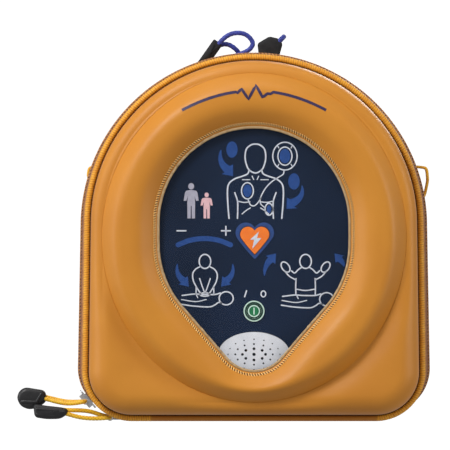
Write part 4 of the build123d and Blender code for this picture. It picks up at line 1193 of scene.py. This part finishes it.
def torso_sign(white, blue):
    """Half figure with two pads, the leads and a close view of a pad."""
    stroke(white, curve_through([(-3.1, 161.4), (-4.9, 165.0), (-5.7, 169.6), (-4.9, 174.6), (-2.0, 177.3),
                                 (0.9, 177.9), (3.8, 177.3), (6.7, 174.6), (7.5, 169.6), (6.7, 165.0),
                                 (4.9, 161.4), (0.9, 159.4)], closed=True), 0.95, closed=True)
    both_sides(white, 0.9, [(-3.1, 161.2), (-4.2, 158.8), (-7.6, 157.3), (-12.4, 155.6), (-16.0, 152.6),
                            (-17.0, 148.0), (-16.7, 139.0), (-16.0, 130.4)], 0.95)
    both_sides(white, 0.9, [(-12.3, 146.8), (-10.6, 141.6), (-10.4, 136.0), (-10.6, 130.4)], 0.9)
    both_sides(white, 0.9, [(-10.4, 141.4), (-6.6, 140.6), (-2.6, 140.9)], 0.7)
    both_sides(white, 0.9, [(-7.6, 133.2), (-5.0, 135.4), (-2.4, 137.0)], 0.7)
    both_sides(white, 0.9, [(-7.4, 155.1), (-2.6, 155.1)], 0.6)
    both_sides(white, 0.9, [(-1.2, 157.4), (-0.2, 155.2)], 0.6)
    for centre, x_r, z_r in (((-4.2, 148.0), 3.8, 5.2), ((9.6, 136.2), 2.5, 3.8), (CLOSE_PAD, 4.5, 5.8)):
        ring(white, centre, x_r, z_r, 44, width=0.8)
        flat_shape(blue, oval(centre, x_r - 1.1, z_r - 1.2, 32))
    curved(white, [(19.3, 161.0), (18.6, 158.6), (15.6, 156.6), (11.6, 154.0), (7.8, 150.2),
                   (5.0, 145.6), (3.2, 141.4), (0.4, 138.5), (-2.2, 139.0),
                   (-3.8, 142.4)], 0.75)
    curved(white, [(4.0, 143.6), (4.2, 139.8), (7.0, 137.2)], 0.7)
    ring(white, CLOSE_PAD, 7.8, 8.9, 60, width=0.8)
    x, z = CLOSE_PAD
    for lean in (-1, 1):
        for up in (-1, 1):
            stroke(white, [(x + lean * 3.9, z + up * 5.2), (x + lean * 4.7, z + up * 6.6)], 0.6)


def helper_signs(white, blue):
    """Kneeling helper who presses, and a helper who stands clear with both hands up."""
    ring(white, (PRESSING_X, 102.8), 3.7, 4.5, 36)
    both_sides(white, PRESSING_X, [(-34.2, 99.6), (-37.4, 97.8), (-39.2, 94.8), (-38.8, 90.4), (-36.6, 86.0),
                                   (-34.0, 81.9)])
    both_sides(white, PRESSING_X, [(-34.8, 91.8), (-33.2, 87.0), (-31.7, 83.0)], 0.75)
    both_sides(white, PRESSING_X, [(-37.0, 86.2), (-37.1, 81.9)], 0.8)
    ring(white, (PRESSING_X, 81.6), 3.2, 1.1, 24, width=0.8)
    lying_figure(white, -46.0, 81.0)
    bent_arrow(blue, (-49.0, 101.2), (-50.4, 94.6), (-45.3, 90.7), (-41.7, 86.6), 3.9)
    bent_arrow(blue, (-13.7, 101.2), (-12.3, 94.6), (-17.4, 90.7), (-21.0, 86.6), 3.9)

    ring(white, (CLEAR_X, 102.8), 3.7, 4.5, 36)
    both_sides(white, CLEAR_X, [(30.2, 98.8), (28.4, 97.6), (26.0, 95.4), (24.0, 96.8)])
    both_sides(white, CLEAR_X, [(20.0, 96.2), (22.8, 93.2), (26.8, 91.0)])
    both_sides(white, CLEAR_X, [(26.9, 91.8), (26.7, 86.6), (26.8, 81.6)])
    curved(white, [(27.2, 85.0), (33.0, 84.2), (38.8, 85.0)], 0.75)
    for middle, lean in (((20.2, 99.2), -36), ((45.8, 99.2), 36)):
        ring(white, middle, 2.3, 3.7, 30, -lean)
    lying_figure(white, 18.3, 80.4)
    bent_arrow(blue, (6.7, 93.6), (6.5, 100.0), (10.6, 103.8), (14.1, 107.9), 4.0)
    bent_arrow(blue, (57.6, 99.4), (57.4, 101.8), (54.8, 104.2), (51.5, 107.9), 3.5)


def printed_panel():
    """Everything printed on the membrane: plain generic signs without lettering."""
    white, blue, grey, pink = Batch(), Batch(), Batch(), Batch()
    standing_figure(grey, -40.2, 130.3, 152.9, 9.6)
    standing_figure(pink, -30.3, 130.3, 146.9, 7.8)
    torso_sign(white, blue)
    helper_signs(white, blue)
    flat_shape(blue, oval((-14.1, 174.4), 3.6, 5.2, 32))
    flat_shape(blue, oval((25.6, 154.0), 3.7, 5.2, 32))
    bent_arrow(blue, (-21.1, 174.2), (-23.2, 166.4), (-17.1, 161.8), (-13.4, 157.4), 4.8)
    bent_arrow(blue, (30.7, 151.4), (32.4, 143.8), (24.5, 140.2), (20.8, 136.4), 4.8)

    # Rate scale, with a slow and a fast sign.
    curved(blue, [(-48.6, 113.4), (-40.6, 116.4), (-31.8, 117.4), (-23.0, 116.4),
                  (-15.0, 113.4)], 3.2)
    stroke(white, [(-49.2, 122.4), (-43.6, 122.4)], 0.9)
    stroke(white, [(-20.8, 122.4), (-15.2, 122.4)], 0.9)
    stroke(white, [(-18.0, 119.6), (-18.0, 125.2)], 0.9)

    # On and off signs over the lower button.
    stroke(white, [(-6.0, 80.2), (-4.8, 84.0)], 0.9)
    ring(white, (6.0, 82.0), 1.5, 1.9, 22, width=0.8)

    # The sign on the on/off button, and a dark green ring of painted shade in the groove round it.
    sign, groove = Batch(), Batch()
    flat_shape(sign, [(-0.4, 68.8), (0.4, 68.8), (0.4, 73.2), (-0.4, 73.2)], front=SIGN_FRONT)
    ring(sign, POWER_KEY, 3.5, 3.5, 48, width=0.75, front=SIGN_FRONT)
    ring(groove, POWER_KEY, 5.35, 5.35, 60, width=1.15, front=GROOVE_FRONT)
    for batch, name, finish, body in ((white, "panel_lines", WHITE, ROOT),
                                      (blue, "panel_arrows", PRINT_BLUE, ROOT),
                                      (grey, "panel_adult", LILAC, ROOT), (pink, "panel_child", PINK, ROOT),
                                      (sign, "power_sign", MINT, "power_key"),
                                      (groove, "power_groove_shade", GROOVE_SHADE_GREEN, ROOT)):
        piece = batch.piece(name, [finish], smooth=False)
        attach(piece, body)


MARK_HALF = 46
MARK_TOP_Z = 211.8
MARK_SAG = 12.4
MARK_HALF_WIDTH = 0.9


def heartbeat_mark():
    """A plain heartbeat line printed along the top of the padded ring."""
    points = [(-46, 199.6), (-31, 205.6), (-16, 209.2), (-11.5, 209.6), (-8, 213), (-3.6, 206.4),
              (1.2, 215.4), (5.4, 207.6), (8.6, 210), (16, 209.2), (31, 205.6), (46, 199.6)]
    line = []
    for a, b in zip(np.array(points), np.array(points[1:])):
        steps = 14 if abs(b[0] - a[0]) > 9 else 4
        line += [a + (b - a) * t for t in np.linspace(0, 1, steps, endpoint=False)]
    line = np.array(line + [points[-1]])
    far = np.abs(line[:, 0]) > 11.4
    line[far, 1] = MARK_TOP_Z - (line[far, 0] / MARK_HALF) ** 2 * MARK_SAG
    side = -right_of(unit_steps(line)) * MARK_HALF_WIDTH
    rows = []
    for place, lift in ((line + side, 0.14), (line - side, 0.14), (line - side, -0.3), (line + side, -0.3)):
        rows.append(at_depth(place, -(ring_surface(place) + lift)))
    verts = np.stack(rows, 1).reshape(-1, 3)
    faces = grid_faces(len(line), 4, flip=True)
    last = (len(line) - 1) * 4
    faces += [(0, 1, 2, 3), (last + 3, last + 2, last + 1, last)]
    piece = new_mesh("heartbeat_mark", verts, faces, [NAVY_PRINT], smooth=False)
    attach(piece, LID)
    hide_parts("case_mark")


# ---------------------------------------------------------------- the whole

camera()
studio()
finish_cad_nodes()

upper_grip = grip(
    "upper_pull_grip", "pull_grip_upper", "upper_pull",
    [(-147.4, 21.7), (-134.2, 19.6), (-133.2, 12.6), (-138.6, 8.6), (-144.6, 7.1), (-150.2, 9.4),
     (-152.7, 14.6), (-151.2, 19.2)], 0.6, 7.6,
    [((-149.0, 0.9, 12.4), (-140.0, 0.7, 12.0), 1.2), ((-140.0, 0.7, 12.0), (-137.0, 0.9, 17.0), 1.1)])
lower_grip = grip(
    "lower_pull_grip", "pull_grip_lower", "lower_pull",
    [(-141.9, 11.2), (-133, 9.9), (-124.4, 9), (-119.6, 8), (-119.9, 4.4), (-124.2, 1.4), (-133, 1.2),
     (-141, 2.4)], -7.4, -0.4,
    [((-139.4, -7.2, 7.9), (-126.0, -7.1, 6.6), 1.0), ((-139.6, -6.9, 4.4), (-128.0, -6.9, 3.6), 0.8)])
pull_cord("upper_pull_strands", "pull_cord_upper", UPPER_CORD, "upper_pull", 1.6, 3, 0.03)
pull_cord("lower_pull_strands", "pull_cord_lower", LOWER_CORD, "lower_pull", 2.2, 4, 0.08)
left_sleeve = sleeve("handle_left_sleeve", "handle_sleeve_left",
                     [(-25.6, 246.2), (-20.2, 242.2), (-29.2, 229.5), (-37.3, 229.6)], 1.2)
right_sleeve = sleeve("handle_right_sleeve", "handle_sleeve_right",
                      [(2.3, 243.2), (10, 247.8), (16.1, 246.4), (18.7, 243), (15.9, 233), (3.4, 233.9)], 1.6)
handle_piece("handle_big_loop", "handle_cord", HANDLE_CORD)
handle_piece("handle_inner_strand", "handle_inner_cord", HANDLE_INNER_CORD)
handle_piece("handle_folded_end", "handle_end_cord", HANDLE_END_CORD)

front_shell()
back_shell()
for side, body, part in ((-1, LID, "front"), (1, ROOT, "back")):
    piping(side, body, f"{part}_piping", f"case_{part}_piping")
    zip_tape(side, body, f"{part}_zip_tape", f"case_{part}_zip_tape")
    zip_teeth(side, body, f"{part}_zip_coil", f"case_{part}_zip_teeth")
    seam(side, body, f"{part}_seam")
window_edge()
heartbeat_mark()
strap_loop("right_strap", "strap_loop_right",
           [(96.4, 164.2), (111.6, 163.3), (112.4, 155), (110.3, 145), (103, 136)])
strap_loop("left_strap", "strap_loop_left",
           [(-96.2, 164.2), (-106.2, 163.2), (-107.2, 157.5), (-100.6, 148.6)])
handle_anchor()
hinge_fabric()
foam_cradle()
printed_panel()
